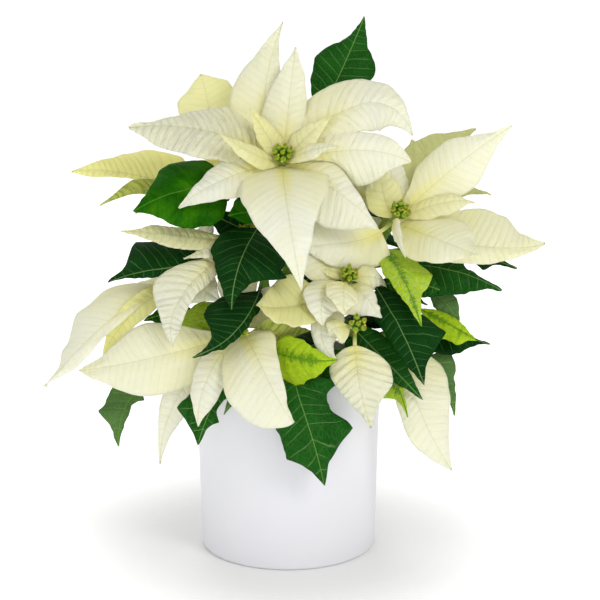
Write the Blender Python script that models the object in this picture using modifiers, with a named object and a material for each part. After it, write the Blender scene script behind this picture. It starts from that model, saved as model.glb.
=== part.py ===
"""A white poinsettia in a round glazed pot.

Eleven leafy stems stand in holes in the potting mix. Each ends in a flower head: a ring of cream bracts
round a cluster of small green cups. Lengths are in millimetres and are scaled to metres when a mesh is made.
+Z is up, -Y is the front, and the origin is the middle of the pot's flat foot.
"""

import math
from types import SimpleNamespace

import bmesh
import bpy
import numpy as np
from mathutils import Matrix, Vector
from mathutils.bvhtree import BVHTree

MM = 0.001
GAP = 0.3
EYE = Vector((9.5, -1500.0, 561.0))

POT_HEIGHT = 155.0
POT_TOP_RADIUS = 75.0
POT_FOOT_RADIUS = 71.0
POT_WALL = 5.0
POT_FLOOR = 7.0
POT_EDGE = 3.0

LINER_HEIGHT = 138.0
LINER_TOP_RADIUS = 63.0
LINER_FOOT_RADIUS = 50.0
LINER_WALL = 1.4
LINER_LIP = 3.0

SOIL_TOP = 134.0
SOIL_HOLE_FLOOR = 104.0
STEM_FOOT = 105.0
STEM_STRAIGHT = 142.0
STEM_BASE_RADIUS = 3.8
STEM_TOP_RADIUS = 2.4
STEM_NECK = 6.0

HUB_LENGTH = 16.0
HUB_RADIUS = 3.4
CUP_RADIUS = 2.5
CUP_DISC = 3.0
STALK_HALF_WIDTH = 1.5
TIP_HALF_WIDTH = 0.4
BLADE_THICKNESS = 0.9
CLEARANCE = 2.0

CREAM = (0.93, 0.91, 0.74)
LEAF_GREEN = (0.05, 0.19, 0.06)
CUP_GREEN = (0.32, 0.42, 0.06)


def head(centre, axis, route, cups):
    """A flower head: its middle, the way it faces, the points its stem passes, and its number of cups."""
    axis = Vector(axis).normalized()
    centre = Vector(centre)
    return SimpleNamespace(
        centre=centre, axis=axis, route=route, cups=cups, foot=centre - axis * HUB_LENGTH
    )


HEADS = {
    "top": head((-4, -30, 325), (0, -0.72, 0.69), [(0, 0), (-1, 2, 200), (-4, -4, 290)], 7),
    "right": head((86, -25, 279), (0.3, -0.62, 0.72), [(24, -6), (38, -7, 190), (66, -8, 240)], 7),
    "middle": head((47, -52, 234), (0.1, -0.6, 0.8), [(17, -21), (26, -28, 185), (42, -40, 212)], 6),
    "low": head((53, -80, 203), (0.15, -0.85, 0.5), [(9, -34), (18, -42, 168), (36, -56, 192)], 5),
    "low_left": head((-36, -80, 200), (-0.1, -0.85, 0.5), [(-12, -32), (-18, -42, 165), (-30, -58, 185)], 7),
    "left": head((-30, -34, 265), (-0.35, -0.5, 0.8), [(-10, -12), (-14, -14, 190), (-20, -22, 236)], 5),
    "far_left": head((-90, -20, 230), (-0.6, -0.2, 0.77), [(-28, -3), (-38, -5, 165), (-66, -12, 202)], 5),
    "back_left": head((-66, 36, 287), (-0.45, 0.3, 0.84), [(-19, 16), (-26, 18, 190), (-48, 28, 250)], 5),
    "back": head((2, 78, 296), (0, 0.6, 0.8), [(0, 29), (0, 36, 200), (1, 58, 262)], 5),
    "back_right": head((84, 66, 262), (0.5, 0.45, 0.74), [(22, 19), (32, 28, 180), (62, 50, 232)], 5),
    "low_right": head((96, -24, 192), (0.75, -0.35, 0.56), [(35, -2), (46, -6, 160), (72, -16, 178)], 5),
}


EDGE_STATIONS = (0, 0.04, 0.15, 0.3, 0.5, 0.7, 0.85, 1)
OVATE = (0.25, 0.62, 0.95, 0.9, 0.52, 0.24)


def blade(tip, left, right=None, arch=0.1, **more):
    """A leaf or bract: where its tip is, and how wide it is on either side of its midrib.

    left and right are half widths in mm at the edge stations, seen from the blade's base with its upper
    side up; one number is the whole width of an even, ovate blade. arch is how far the midrib bows as a
    share of its length, or belly gives the bow as a vector. hook moves the outer half of the midrib.
    face is the way the upper side looks, roll and twist turn it about the midrib in degrees, and fold and
    curl bend it across. stalk is the stalk's share of the length. lobes are points on the edge, as (share
    of the blade's length, height, side, reach along it). Blades of a low rank are placed first.
    """
    if right is None:
        left, right = ([left / 2 * share for share in OVATE] if not hasattr(left, "__len__") else left,) * 2
    shape = dict(face=None, belly=None, hook=(0, 0, 0), roll=0, twist=0, fold=12, curl=-24)
    shape.update(stalk=0.13, lobes=(), rank=1, width=max(left) + max(right))
    shape.update(more)
    return SimpleNamespace(tip=Vector(tip), left=left, right=right, arch=arch, **shape)


OAK = ((0.22, 0.3, -1), (0.26, 0.3, 1), (0.5, 0.5, 1), (0.54, 0.5, -1))
SPADE = ((0.1, 0.45, -1), (0.14, 0.45, 1))
SHOULDER = ((0.4, 0.2, 1),)
TO_FRONT = (0, -0.9, 0.42)
TO_SKY = (0, -0.5, 0.86)

BRACTS = {
    "top": [
        blade(
            (11, -98, 235), (18, 31, 30, 22, 11, 5), (30, 34, 35.5, 27, 15.5, 7.5),
            belly=(-3, -26, 16), fold=14, stalk=0.03,
        ),
        blade(
            (95, -44, 323), (3, 8, 15, 15, 14, 8), (2, 4, 8, 28, 22, 10),
            belly=(4, -8, 12), face=(0.1, -0.9, 0.4), roll=-12, stalk=0.06,
        ),
        blade(
            (97, -22, 341), (10, 26, 32, 27, 18, 8), (6, 14, 19, 22, 21, 12),
            belly=(-2, -4, 26), hook=(14, 0, 22), face=(0, -0.75, 0.65),
        ),
        blade((6, 0, 407), (3, 15, 21.5, 19, 11, 5), (3, 9, 13, 14, 10, 5), arch=0.04, fold=16, stalk=0.08),
        blade(
            (-4, 26, 424), (2, 20, 29, 24, 12, 5), (2, 8, 14, 12, 6, 2),
            belly=(-19, -2, 2), hook=(14, 0, 0),
        ),
        blade(
            (-83, -58, 290), (5, 14, 19, 16, 10, 5), (5, 12, 17.5, 14, 8, 4),
            belly=(-4, -12, 8), face=(-0.1, -0.85, 0.5), stalk=0.08,
        ),
        blade(
            (-123, -26, 347), (5, 15, 23, 27, 24, 14), (10, 32, 38, 29, 15, 6),
            belly=(6, -4, 12), face=(0, -0.6, 0.8), fold=16, stalk=0.08,
        ),
        blade(
            (70, -58, 274), (4, 11, 19, 13, 7, 3), (5, 15, 25, 28, 22, 12),
            belly=(4, -12, 6), face=(0.1, -0.95, 0.3), stalk=0.06,
        ),
        blade(
            (-53, -58, 350), (3, 7, 10, 9, 6, 3), (3, 7, 9, 8, 5, 2),
            belly=(0, -6, -3), stalk=0.06,
        ),
        blade((-29, -46, 365), 20, arch=0.04, fold=24, stalk=0.06),
        blade((34, -54, 361), 22, arch=0.06, fold=20, stalk=0.06),
        blade((38, -72, 340), 18, belly=(0, -4, 4), stalk=0.06),
        blade((-19, -28, 350), 10, arch=0.05, stalk=0.05),
        blade((12, -30, 347), 9, arch=0.05, stalk=0.05),
    ],
    "right": [
        blade(
            (145, -78, 258), (8, 18, 28, 27, 17, 7), (8, 18, 23, 21, 11, 5),
            belly=(4, -12, 0), face=(0.2, -0.8, 0.55), stalk=0.06,
        ),
        blade(
            (175, -14, 347), (5, 11, 21, 22, 11, 4), (4, 10, 18, 23, 13, 6),
            belly=(0, -6, 6), face=(0.1, -0.95, 0.3), fold=6, stalk=0.08,
        ),
        blade(
            (203, -18, 254), (6, 20, 33, 42, 34, 12), (6, 14, 18, 14, 9, 5),
            belly=(4, -8, -8), face=(0.15, -0.75, 0.65), stalk=0.08,
        ),
        blade(
            (144, -46, 292), (2, 6, 8, 9, 7, 3), (2, 7, 11, 11, 7, 3),
            belly=(4, -8, 8), face=(0.1, -0.7, 0.7), stalk=0.06,
        ),
        blade((89, -88, 258), 14, belly=(-4, -10, 8), face=(-0.75, -0.6, 0.2), stalk=0.06),
        blade(
            (72, -28, 323), (4, 10, 15, 14, 9, 4), (4, 9, 14, 14, 9, 4),
            belly=(-4, -6, -2), face=(-0.1, -0.95, 0.2), stalk=0.06,
        ),
        blade(
            (12, -52, 258), (20, 23, 23, 20, 15, 8), (8, 14, 18, 18, 12, 7),
            belly=(0, -4, -12), hook=(0, 0, 16), face=(-0.1, -0.95, 0.3), stalk=0.16,
        ),
        blade(
            (151, 30, 338), (4, 14, 24, 24, 15, 6), (5, 12, 16, 14, 9, 4),
            belly=(-4, 6, 8), face=(0.1, -0.7, 0.7),
        ),
        blade((99, 28, 330), 30, belly=(6, 4, 8), face=(0.1, -0.6, 0.8)),
    ],
    "middle": [
        blade((43, -104, 229), (4, 9, 14, 14, 10, 6), belly=(-2, -8, 10), face=(0.1, -1, 0.2), stalk=0.2),
        blade(
            (27, -92, 206), (5, 12, 17, 18, 14, 7), (5, 12, 17, 16, 11, 6),
            belly=(-8, -8, 10), face=(-0.1, -0.9, 0.3), stalk=0.1,
        ),
        blade(
            (71, -92, 212), (5, 9, 11, 9, 6, 3), (8, 18, 24, 22, 14, 6),
            belly=(0, -8, 6), face=(0.1, -0.7, 0.7), stalk=0.1,
        ),
        blade((70, -70, 231), 22, belly=(2, -6, 8), face=(0.1, -0.8, 0.6)),
        blade((20, -66, 242), 18, belly=(0, -2, 6), face=(0, -0.5, 0.8)),
        blade(
            (-24, -84, 220), (7, 15, 21, 21, 17, 10), (12, 24, 27, 25, 19, 11),
            belly=(0, -6, -6), face=(-0.1, -0.75, 0.65), stalk=0.25,
        ),
        blade(
            (37, -103, 181), (4, 9, 12, 12, 9, 5), (4, 9, 12, 13, 10, 6),
            belly=(-16, -14, 3), face=(-0.1, -1, 0.2),
        ),
    ],
    "low": [
        blade(
            (63, -106, 130), (11, 21, 27, 25, 15, 6), (11, 18, 22, 18, 10, 4),
            belly=(-4, -6, 4), face=(0, -1, 0.15), stalk=0.2,
        ),
        blade((33, -96, 199), 16, belly=(-6, -4, 4), face=(0, -0.9, 0.4)),
    ],
    "low_left": [
        blade(
            (5, -122, 139), (18, 20, 16, 12, 8, 4), (12, 24, 30, 34, 30, 22),
            belly=(-2, -18, 15), hook=(0, -4, -18), face=(0.1, -1, 0.25), stalk=0.05, rank=0,
        ),
        blade(
            (-163, -60, 162), (6, 18, 28, 29, 22, 10), (5, 12, 22, 29, 19, 8),
            belly=(0, -14, 0), face=(-0.1, -0.93, 0.35), stalk=0.08,
        ),
        blade(
            (-68, -104, 130), (4, 9, 13, 12, 8, 3),
            belly=(-8, -10, 6), face=(-0.2, -0.95, 0.2), stalk=0.08,
        ),
        blade(
            (-100, -66, 88), (3, 6, 10, 12, 8, 4), (3, 6, 10, 12, 7, 3),
            belly=(-14, -6, 8), face=(-0.1, -0.95, 0.1), stalk=0.1, rank=0,
        ),
        blade((17, -90, 196), 40, belly=(0, -6, -2), face=(0.1, -0.6, -0.6)),
    ],
    "left": [
        blade(
            (-87, -90, 189), (3, 8, 12, 17, 15, 10), (4, 12, 20, 25, 11, 8),
            belly=(-20, -14, 8), face=(-0.3, -0.85, 0.4), fold=16, stalk=0.08,
        ),
        blade(
            (-129, -50, 271), (4, 10, 13, 14, 9, 4), (4, 7, 10, 11, 10, 4),
            belly=(0, -6, 2), face=(0, -0.5, 0.86), fold=18,
        ),
        blade((-80, -60, 251), 18, belly=(0, -4, 2), face=(0, -0.6, 0.8)),
        blade(
            (-41, -70, 204), (4, 12, 18, 17, 11, 5), (4, 10, 14, 14, 9, 4),
            belly=(-5, -8, 4), face=(0, -0.95, 0.2),
        ),
    ],
    "far_left": [
        blade(
            (-190, -62, 150), (4, 6, 8, 9, 10, 5), (8, 24, 38, 38, 18, 5),
            belly=(-4, -16, 22), hook=(0, 0, -22), face=(-0.4, -0.75, 0.5), twist=-20,
        ),
        blade(
            (-144, -56, 172), (5, 9, 10, 9, 7, 4), belly=(-4, -22, 12), face=(-0.2, -0.9, 0.3),
            fold=-10, curl=20,
        ),
    ],
    "back_left": [
        blade(
            (-172, 4, 308), (3, 5, 4, 4, 6.5, 5), (12, 30, 30, 20, 9, 4),
            belly=(-4, 0, 10), face=(0, -0.8, 0.6), fold=14,
        ),
        blade(
            (-71, 50, 380), (2, 6, 14, 22, 25, 16), (2, 6, 14, 22, 24, 19),
            belly=(4, -6, 8), face=(0, -0.9, 0.5),
        ),
        blade(
            (-148, -14, 284), (3, 6, 6, 5, 3, 2), (4, 7, 10, 11, 8, 2),
            belly=(0, -6, 14), face=(0, -0.7, 0.7), lobes=((0.6, 0.4, 1),),
        ),
    ],
    "back": [],
    "back_right": [
        blade((167, 58, 279), 30, belly=(0, 0, 14)),
    ],
    "low_right": [
        blade(
            (129, -62, 81), (8, 24, 33, 31, 23, 12), (4, 8, 12, 15, 17, 11),
            belly=(-12, -18, 12), face=(0.25, -0.95, 0.2),
        ),
    ],
}

LEAVES = {
    "top": [
        (296, blade(
            (61, 42, 427), (6, 16, 22, 20, 8.5, 3), (3, 12, 24, 25, 13, 6),
            stalk=0.4, belly=(4, -4, 4), face=TO_FRONT, lobes=((0.46, 0.18, -1),),
        )),
        (292, blade(
            (-118, -56, 287), (15, 30, 33, 28, 13, 5), (13, 25, 28, 28, 14, 6),
            stalk=0.38, belly=(0, -4, 14), face=(-0.1, -0.8, 0.6),
        )),
        (284, blade(
            (-42, -98, 220), (10, 22, 26, 16, 5, 2), (12, 23, 28, 24, 13, 6),
            stalk=0.33, belly=(10, -12, 10), face=(-0.2, -0.85, 0.4), rank=0,
        )),
        (276, blade((-46, -46, 282), (3, 6, 8, 9, 9, 5), stalk=0.2, face=TO_FRONT)),
        (240, blade(
            (-65, -10, 278), (5, 12, 15, 15, 11, 6), (4, 10, 13, 12, 8, 4), stalk=0.25, face=TO_FRONT,
        )),
        (262, blade((34, -30, 250), 48, stalk=0.25, belly=(4, -6, 8), face=TO_FRONT)),
    ],
    "right": [
        (252, blade(
            (102, -86, 204), (6, 12.5, 17.5, 21, 9, 3), (4, 10, 12.5, 9, 6.5, 3.5),
            stalk=0.14, belly=(0, -8, 10), face=(0.1, -0.9, 0.3), lobes=((0.5, 0.15, -1),),
        )),
        (230, blade(
            (104, -98, 161), (5, 12, 18, 26, 21, 7), (6, 12, 14, 12, 9, 5),
            stalk=0.24, belly=(0, -16, 12), face=(0.1, -0.93, 0.3), lobes=((0.62, 0.4, -1),),
        )),
        (232, blade(
            (168, -32, 219), (8, 15, 19, 14, 8, 4), (10, 20, 27, 22, 13, 5),
            stalk=0.3, belly=(0, -6, 12), face=(0.1, -0.6, 0.75), lobes=((0.52, 0.3, -1),),
        )),
        (244, blade((185, 14, 227), 36, stalk=0.3, belly=(0, 0, 10), face=TO_SKY, lobes=((0.62, 0.4, 1),))),
        (222, blade(
            (148, -48, 183), (3, 6, 8, 7.5, 5, 2.5), (3, 6, 9, 12, 12, 4),
            stalk=0.5, belly=(3, -6, 2), face=(0.3, -0.85, 0.4),
        )),
        (212, blade(
            (117, -62, 227), (3, 5, 8, 10, 10, 7),
            stalk=0.3, belly=(0, -4, 8), face=TO_FRONT,
        )),
        (216, blade(
            (135, -34, 192), (3, 6, 9, 9, 6, 3),
            stalk=0.6, belly=(10, -2, 16), face=TO_FRONT,
        )),
    ],
    "middle": [
        (205, blade(
            (103, -96, 149), (5, 10, 13, 12, 9, 4), (5, 8, 9, 8, 5, 2.5),
            stalk=0.25, belly=(-4, -14, 8), face=(-0.1, -0.95, 0.2),
        )),
    ],
    "low": [
        (160, blade(
            (28, -101, 82), (6, 14, 23, 22, 24, 11), (8, 14, 17, 18, 18, 10),
            stalk=0.15, belly=(-20, -34, 34), hook=(20, 0, 0), face=(0, -1, 0.1),
            lobes=((0.33, 0.55, -1, 0.13), (0.69, 0.5, -1), (0.84, 0.4, 1, 0.1)),
        )),
        (172, blade((46, -88, 152), 26, stalk=0.3, belly=(0, -14, 14), face=(0, -0.95, 0.2))),
    ],
    "low_left": [
        (186, blade(
            (38, -98, 181), (10, 15, 15, 12, 7, 3), (12, 19, 21, 17, 10, 4), stalk=0.3,
            belly=(0, -14, -2), face=(0, -1, 0.1), lobes=((0.35, 0.25, 1),), rank=0,
        )),
        (160, blade(
            (-70, -74, 106), (5, 9, 12, 14, 12, 6), (4, 8, 13, 18, 20, 11), stalk=0.3,
            belly=(-2, -14, 24), face=(-0.2, -0.95, 0.2), rank=0,
            lobes=((0.78, 0.5, 1), (0.7, 0.4, -1)),
        )),
        (150, blade((-49, -86, 134), 16, stalk=0.5, belly=(4, -14, 20), face=(0, -1, 0.2))),
    ],
    "left": [
        (234, blade(
            (-139, -54, 231), (5, 7, 8, 7, 5, 2), (6, 12, 22, 31, 28, 8),
            stalk=0.2, belly=(0, -8, 10), face=(-0.1, -0.7, 0.7), lobes=((0.7, 0.35, 1),),
        )),
        (234, blade(
            (-72, -98, 183), (5, 9, 9, 9, 6, 3), (6, 16, 25, 29, 20, 9),
            stalk=0.2, belly=(12, -34, 0), face=(-0.2, -0.9, 0.35), rank=0,
        )),
        (205, blade(
            (-76, -90, 171), (3, 7, 9, 9, 6, 3), (5, 16, 26, 28, 22, 10),
            stalk=0.25, belly=(-6, -6, 10), face=(-0.2, -0.95, 0.2),
        )),
    ],
    "far_left": [
        (168, blade(
            (-136, -32, 91), (5, 5, 4, 5, 3.5, 2), (12, 17, 18, 15, 8, 4), stalk=0.55, belly=(-22, -6, 18),
            face=(-0.3, -0.95, 0.1), lobes=((0.6, 0.75, 1, 0.13), (0.2, 0.5, -1, 0.1)),
        )),
        (190, blade((-115, -20, 192), 22, stalk=0.3, belly=(0, -2, 6), face=TO_FRONT)),
    ],
    "back_left": [],
    "back": [],
    "back_right": [],
    "low_right": [
        (168, blade(
            (160, -30, 175), (3, 6, 8, 7, 4, 2), (4, 10, 17, 17, 9, 3),
            stalk=0.4, belly=(0, -4, 10), face=(0, -0.6, 0.8),
        )),
        (174, blade(
            (132, -42, 120), (8, 16, 15, 8, 4, 2), (2, 3, 4, 4, 3, 2),
            stalk=0.5, belly=(12, -4, 18), face=(0.3, -0.9, 0.1),
        )),
        (158, blade(
            (93, -76, 129), (3, 5, 7, 6, 4, 2), (3, 10, 17, 20, 14, 3),
            stalk=0.3, belly=(4, -10, 22), face=(0, -1, 0.1), lobes=((0.62, 0.5, 1),),
        )),
    ],
}

FULL_RINGS = {"back_left": 5, "back": 6, "back_right": 6, "far_left": 3, "left": 0}
GOLDEN_ANGLE = math.radians(137.5)
LEAVES_UP_A_STEM = 5


def stem_line(name, count=6):
    """Points on the smooth line of a stem, from its foot in the potting mix to the underside of its head."""
    spot = HEADS[name]
    first = spot.route[0]
    knots = [Vector((*first, STEM_FOOT)), Vector((*first, STEM_STRAIGHT))]
    knots += [Vector(p) for p in spot.route[1:]]
    knots += [spot.foot - spot.axis * STEM_NECK, spot.foot - spot.axis * GAP]
    line = [knots[0]]
    spans = len(knots) - 3
    for i in range(count + 1):
        place = min(i / count * spans, spans - 1e-6)
        k = int(place)
        f = place - k
        a, b, c, d = knots[k : k + 4]
        bend = (a * 2 - b * 5 + c * 4 - d) * f**2 + (b * 3 - a - c * 3 + d) * f**3
        line.append((b * 2 + (c - a) * f + bend) / 2)
    return line + [knots[-1]]


def stem_point(name, height):
    """The point of a stem's line at a height above the pot's foot."""
    line = stem_line(name, 60)
    return min(line, key=lambda p: abs(p.z - height))


def outline(b, share, side):
    """Half the blade's width at shares of its length, on one side of its midrib, in mm."""
    widths = (STALK_HALF_WIDTH, *(b.right if side > 0 else b.left), TIP_HALF_WIDTH)
    x, y = np.array(EDGE_STATIONS, float), np.array(widths, float)
    slope = np.diff(y) / np.diff(x)
    level = slope[:-1] * slope[1:] <= 0
    inner = np.where(level, 0, 2 * slope[:-1] * slope[1:] / np.where(level, 1, slope[:-1] + slope[1:]))
    tangent = np.concatenate([slope[:1], inner, slope[-1:]])
    share = np.clip(np.asarray(share, float), 0, 1)
    i = np.clip(np.searchsorted(x, share, side="right") - 1, 0, len(slope) - 1)
    step = x[i + 1] - x[i]
    f = (share - x[i]) / step
    half = y[i] * (1 + 2 * f) * (1 - f) ** 2 + y[i + 1] * f**2 * (3 - 2 * f)
    half = half + step * f * (1 - f) * (tangent[i] * (1 - f) - tangent[i + 1] * f)
    for place, height, on, *reach in b.lobes:
        near = np.clip(1 - np.abs(share - place) / (reach or (0.16,))[0], 0, 1)
        half = half + (height * b.width / 2 * near**1.4 if on == side else 0)
    return half


def edge_share(b, u, side, length):
    """Where a row of points meets the blade's edge: rows sweep towards the tip as its side veins do."""
    blade_length = length * (1 - b.stalk)
    lean = 0.6 * outline(b, u, side) / blade_length * np.sqrt(np.clip(1 - u, 0, 1)) * np.clip(u * 5, 0, 1)
    return np.minimum(u + lean, 1)


def unit(v):
    return v / np.maximum(np.linalg.norm(v, axis=-1, keepdims=True), 1e-9)


def surface(b, root, u, t):
    """Points and upper-side normals of a blade at lengthwise shares u (below 0 on the stalk) and across t."""
    u, t = np.broadcast_arrays(np.asarray(u, float), np.asarray(t, float))
    side = np.where(t < 0, -1, 1)
    start, end = np.array(root), np.array(b.tip)
    chord = end - start
    length = np.linalg.norm(chord)
    edge = np.where(t < 0, edge_share(b, u, -1, length), edge_share(b, u, 1, length))
    half = np.where(t < 0, outline(b, edge, -1), outline(b, edge, 1))
    half = np.where(u <= 0, STALK_HALF_WIDTH, half)
    swept = u + np.abs(t) * (edge - u)
    v = np.where(u < 0, b.stalk * (1 + u), b.stalk + (1 - b.stalk) * swept)[..., None]
    normal = unit(np.cross(np.cross(chord, b.face), chord))
    bow = np.array(b.belly) if b.belly else normal * length * b.arch
    p1 = start + chord * 0.3 + bow * 4 / 3
    p2 = start + chord * 0.72 + bow * 4 / 3 + b.hook
    w = 1 - v
    mid = w**3 * start + 3 * w**2 * v * p1 + 3 * w * v**2 * p2 + v**3 * end
    along = unit(3 * w**2 * (p1 - start) + 6 * w * v * (p2 - p1) + 3 * v**2 * (end - p2))
    across = unit(np.cross(along, normal))
    up = np.cross(across, along)
    turn = np.radians(b.roll + b.twist * v)
    across, up = across * np.cos(turn) + up * np.sin(turn), up * np.cos(turn) - across * np.sin(turn)
    open_out = np.clip(u * 6, 0, 1)
    bend = np.radians(b.fold + b.curl * np.abs(t)) * open_out
    sideways = (half * np.abs(t) * np.cos(bend) * side)[..., None]
    lift = (half * np.abs(t) * np.sin(bend))[..., None]
    points = mid + across * sideways + up * lift
    slope = bend[..., None] * side[..., None]
    return points, unit(up * np.cos(slope) - across * np.sin(slope))


def stations(b, length=90):
    """The lengthwise shares at which the coarse blade has a row of points: more on long and lobed ones."""
    rows = {-1, 0, 0.1, 0.3, 0.58, 1} if b.width > 24 and b.rank < 2 else {-1, 0, 0.35, 1}
    if b.rank < 2 and b.width <= 24:
        rows = {-1, 0, 0.25, 0.6, 1}
    grid = np.linspace(0, 1, 101)
    for place, _, side, *_ in b.lobes:
        at = round(float(np.interp(place, edge_share(b, grid, side, length), grid)), 2)
        rows -= {r for r in rows if 0 < r < 1 and abs(r - at) < 0.1}
        rows.add(at)
    return sorted(rows)


def shell(b, root, half_thickness, first=0):
    """Points and quads of a closed thick blade, for the test that it lies clear."""
    rows = stations(b)[first:]
    points, normals = surface(b, root, np.array(rows)[:, None], np.array([-1.0, 0.0, 1.0]))
    above = (points + normals * half_thickness).reshape(-1, 3)
    below = (points - normals * half_thickness).reshape(-1, 3)
    n = len(above)
    quads = []
    for i in range(len(rows) - 1):
        for j in range(2):
            a = i * 3 + j
            quads += [(a, a + 1, a + 4, a + 3), (n + a, n + a + 3, n + a + 4, n + a + 1)]
        for j in (0, 2):
            a = i * 3 + j
            quads.append((a, a + 3, n + a + 3, n + a))
    last = n - 3
    for a in (0, 1, last, last + 1):
        quads.append((a, a + 1, n + a + 1, n + a))
    return np.vstack([above, below]), quads


def rings(profile):
    """A round shell about the pot's axis from its profile of (radius, height) points."""
    turn = np.radians(np.arange(0, 360, 15))
    points = [(r * math.cos(a), r * math.sin(a), z) for r, z in profile for a in turn]
    n = len(turn)
    quads = [
        (i * n + k, i * n + (k + 1) % n, (i + 1) * n + (k + 1) % n, (i + 1) * n + k)
        for i in range(len(profile) - 1)
        for k in range(n)
    ]
    return np.array(points), quads


def tree_of(points, faces):
    return BVHTree.FromPolygons([Vector(p) for p in points], faces)


class Room:
    """What is already in place, as thick shells, so that each new blade can be bent clear of it."""

    def __init__(self):
        self.taken = []

    def add(self, owner, points, faces, outer=None):
        """outer is the part that must also stay clear of other blades of the same owner."""
        outer = outer and tree_of(*outer)
        self.taken.append((owner, points.min(0), points.max(0), tree_of(points, faces), outer))

    def add_ball(self, owner, centre, radius):
        mesh = bmesh.new()
        bmesh.ops.create_icosphere(mesh, subdivisions=2, radius=radius)
        points = np.array([v.co + centre for v in mesh.verts])
        faces = [[v.index for v in f.verts] for f in mesh.faces]
        mesh.free()
        self.add(owner, points, faces)

    def add_line(self, owner, line, radius):
        ring = [(math.cos(k * math.pi / 3), math.sin(k * math.pi / 3)) for k in range(6)]
        points, faces = [], []
        for p in line:
            points += [(p.x + radius * c, p.y + radius * s, p.z) for c, s in ring]
        for i in range(len(line) - 1):
            for k in range(6):
                n = (k + 1) % 6
                faces.append((i * 6 + k, i * 6 + n, i * 6 + 6 + n, i * 6 + 6 + k))
        self.add(owner, np.array(points), faces)

    def meets(self, owner, b, root):
        """True if the blade touches anything of another node, or the outer part of its own node's blades."""
        points, quads = shell(b, root, BLADE_THICKNESS / 2)
        low, high = points.min(0), points.max(0)
        whole = outer = None
        for other, lo, hi, tree, tree_outer in self.taken:
            if (lo > high).any() or (hi < low).any():
                continue
            if other == owner:
                if tree_outer:
                    outer = outer or tree_of(*shell(b, root, BLADE_THICKNESS / 2, first=3))
                    if outer.overlap(tree_outer):
                        return True
                continue
            whole = whole or tree_of(points, quads)
            if whole.overlap(tree):
                return True
        return False


def seen_moves(b, root):
    """The blade as drawn, then with its tip nearer to or further from the viewpoint, then a little aside."""
    sight = (b.tip - EYE).normalized()
    for nudge in ((0, 0, 0), (0, 0, 6), (0, 0, -6), (6, 0, 0), (-6, 0, 0), (0, 0, 12), (0, 0, -12)):
        for step in range(17):
            moved = SimpleNamespace(**vars(b))
            moved.tip = b.tip + Vector(nudge) + sight * ((step + 1) // 2 * 5 * (1 if step % 2 else -1))
            yield moved


def unseen_moves(b, root):
    """The blade as drawn, then swung round the head or stem, then raised or lowered."""
    reach = b.tip - root
    for lift in (0, 12, -12, 24, -24):
        for swing in (0, 12, -12, 24, -24, 36, -36):
            moved = SimpleNamespace(**vars(b))
            moved.tip = root + Matrix.Rotation(math.radians(swing), 3, "Z") @ reach + Vector((0, 0, lift))
            yield moved


def settle(room, node, b, root, moves):
    """The first variant of the blade that lies clear, or None."""
    for moved in moves(b, root):
        if not room.meets(node, moved, root):
            room.add(node, *shell(moved, root, CLEARANCE), shell(moved, root, CLEARANCE * 0.6, first=3))
            return moved
    return None


def bract_root(spot, tip):
    """Long bracts grow low on the hub, and short ones and those that hang down near its top."""
    reach = tip - spot.centre
    hang = min(0, reach.normalized().dot(spot.axis))
    return spot.centre - spot.axis * min(12.0, 2.5 + reach.length * 0.085) * (1 + hang)


def drawn_blades():
    """The blades that are seen in the photo, with their nodes and roots."""
    for name, spot in HEADS.items():
        for b in BRACTS[name]:
            b.face = b.face or tuple(spot.axis)
            yield "bracts_" + name, b, bract_root(spot, b.tip)
        for height, b in LEAVES[name]:
            yield "stem_" + name, b, stem_point(name, height)


def by_rank(blades):
    return sorted(blades, key=lambda item: item[1].rank)


def ring_blades():
    """The bracts of the unseen heads, and on the far side of the seen ones, spread by the golden angle."""
    for order, (name, spot) in enumerate(HEADS.items()):
        count = FULL_RINGS.get(name, 3)
        first = spot.axis.orthogonal().normalized()
        second = spot.axis.cross(first)
        for k in range(count * 2 if name not in FULL_RINGS else count):
            angle = order + k * GOLDEN_ANGLE
            out = first * math.cos(angle) + second * math.sin(angle)
            if name not in FULL_RINGS and out.y < 0.35:
                continue
            length = 74 - 3.5 * (k % 4)
            tip = spot.centre + out * length + spot.axis * (14 - 5 * (k % 3)) - Vector((0, 0, 8))
            b = blade(tip, length * 0.55, arch=0.1, face=tuple(spot.axis), stalk=0.1, rank=2)
            yield "bracts_" + name, b, bract_root(spot, tip)


def stem_blades():
    """Green leaves up the stems, on the sides that the photo leaves unseen, spread by the golden angle."""
    for order, (name, spot) in enumerate(HEADS.items()):
        top = spot.foot.z - 18
        for k in range(LEAVES_UP_A_STEM):
            height = 152 + (top - 152) * (k + 0.5) / LEAVES_UP_A_STEM
            root = stem_point(name, height)
            angle = order * 1.1 + k * GOLDEN_ANGLE
            out = Vector((math.cos(angle), math.sin(angle), 0))
            if out.y < -0.1 and abs(out.x) < 0.9:
                continue
            length = 96 - 5 * (k % 3)
            tip = root + out * length * 0.92 + Vector((0, 0, 12 - 26 * (k % 2)))
            face = tuple(Vector((0, 0, 1)) + out * 0.4)
            lobes = (OAK, (), SPADE, SHOULDER)[k % 4]
            b = blade(tip, length * 0.46, arch=0.14, face=face, stalk=0.3, lobes=lobes, rank=2)
            yield "stem_" + name, b, root


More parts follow.
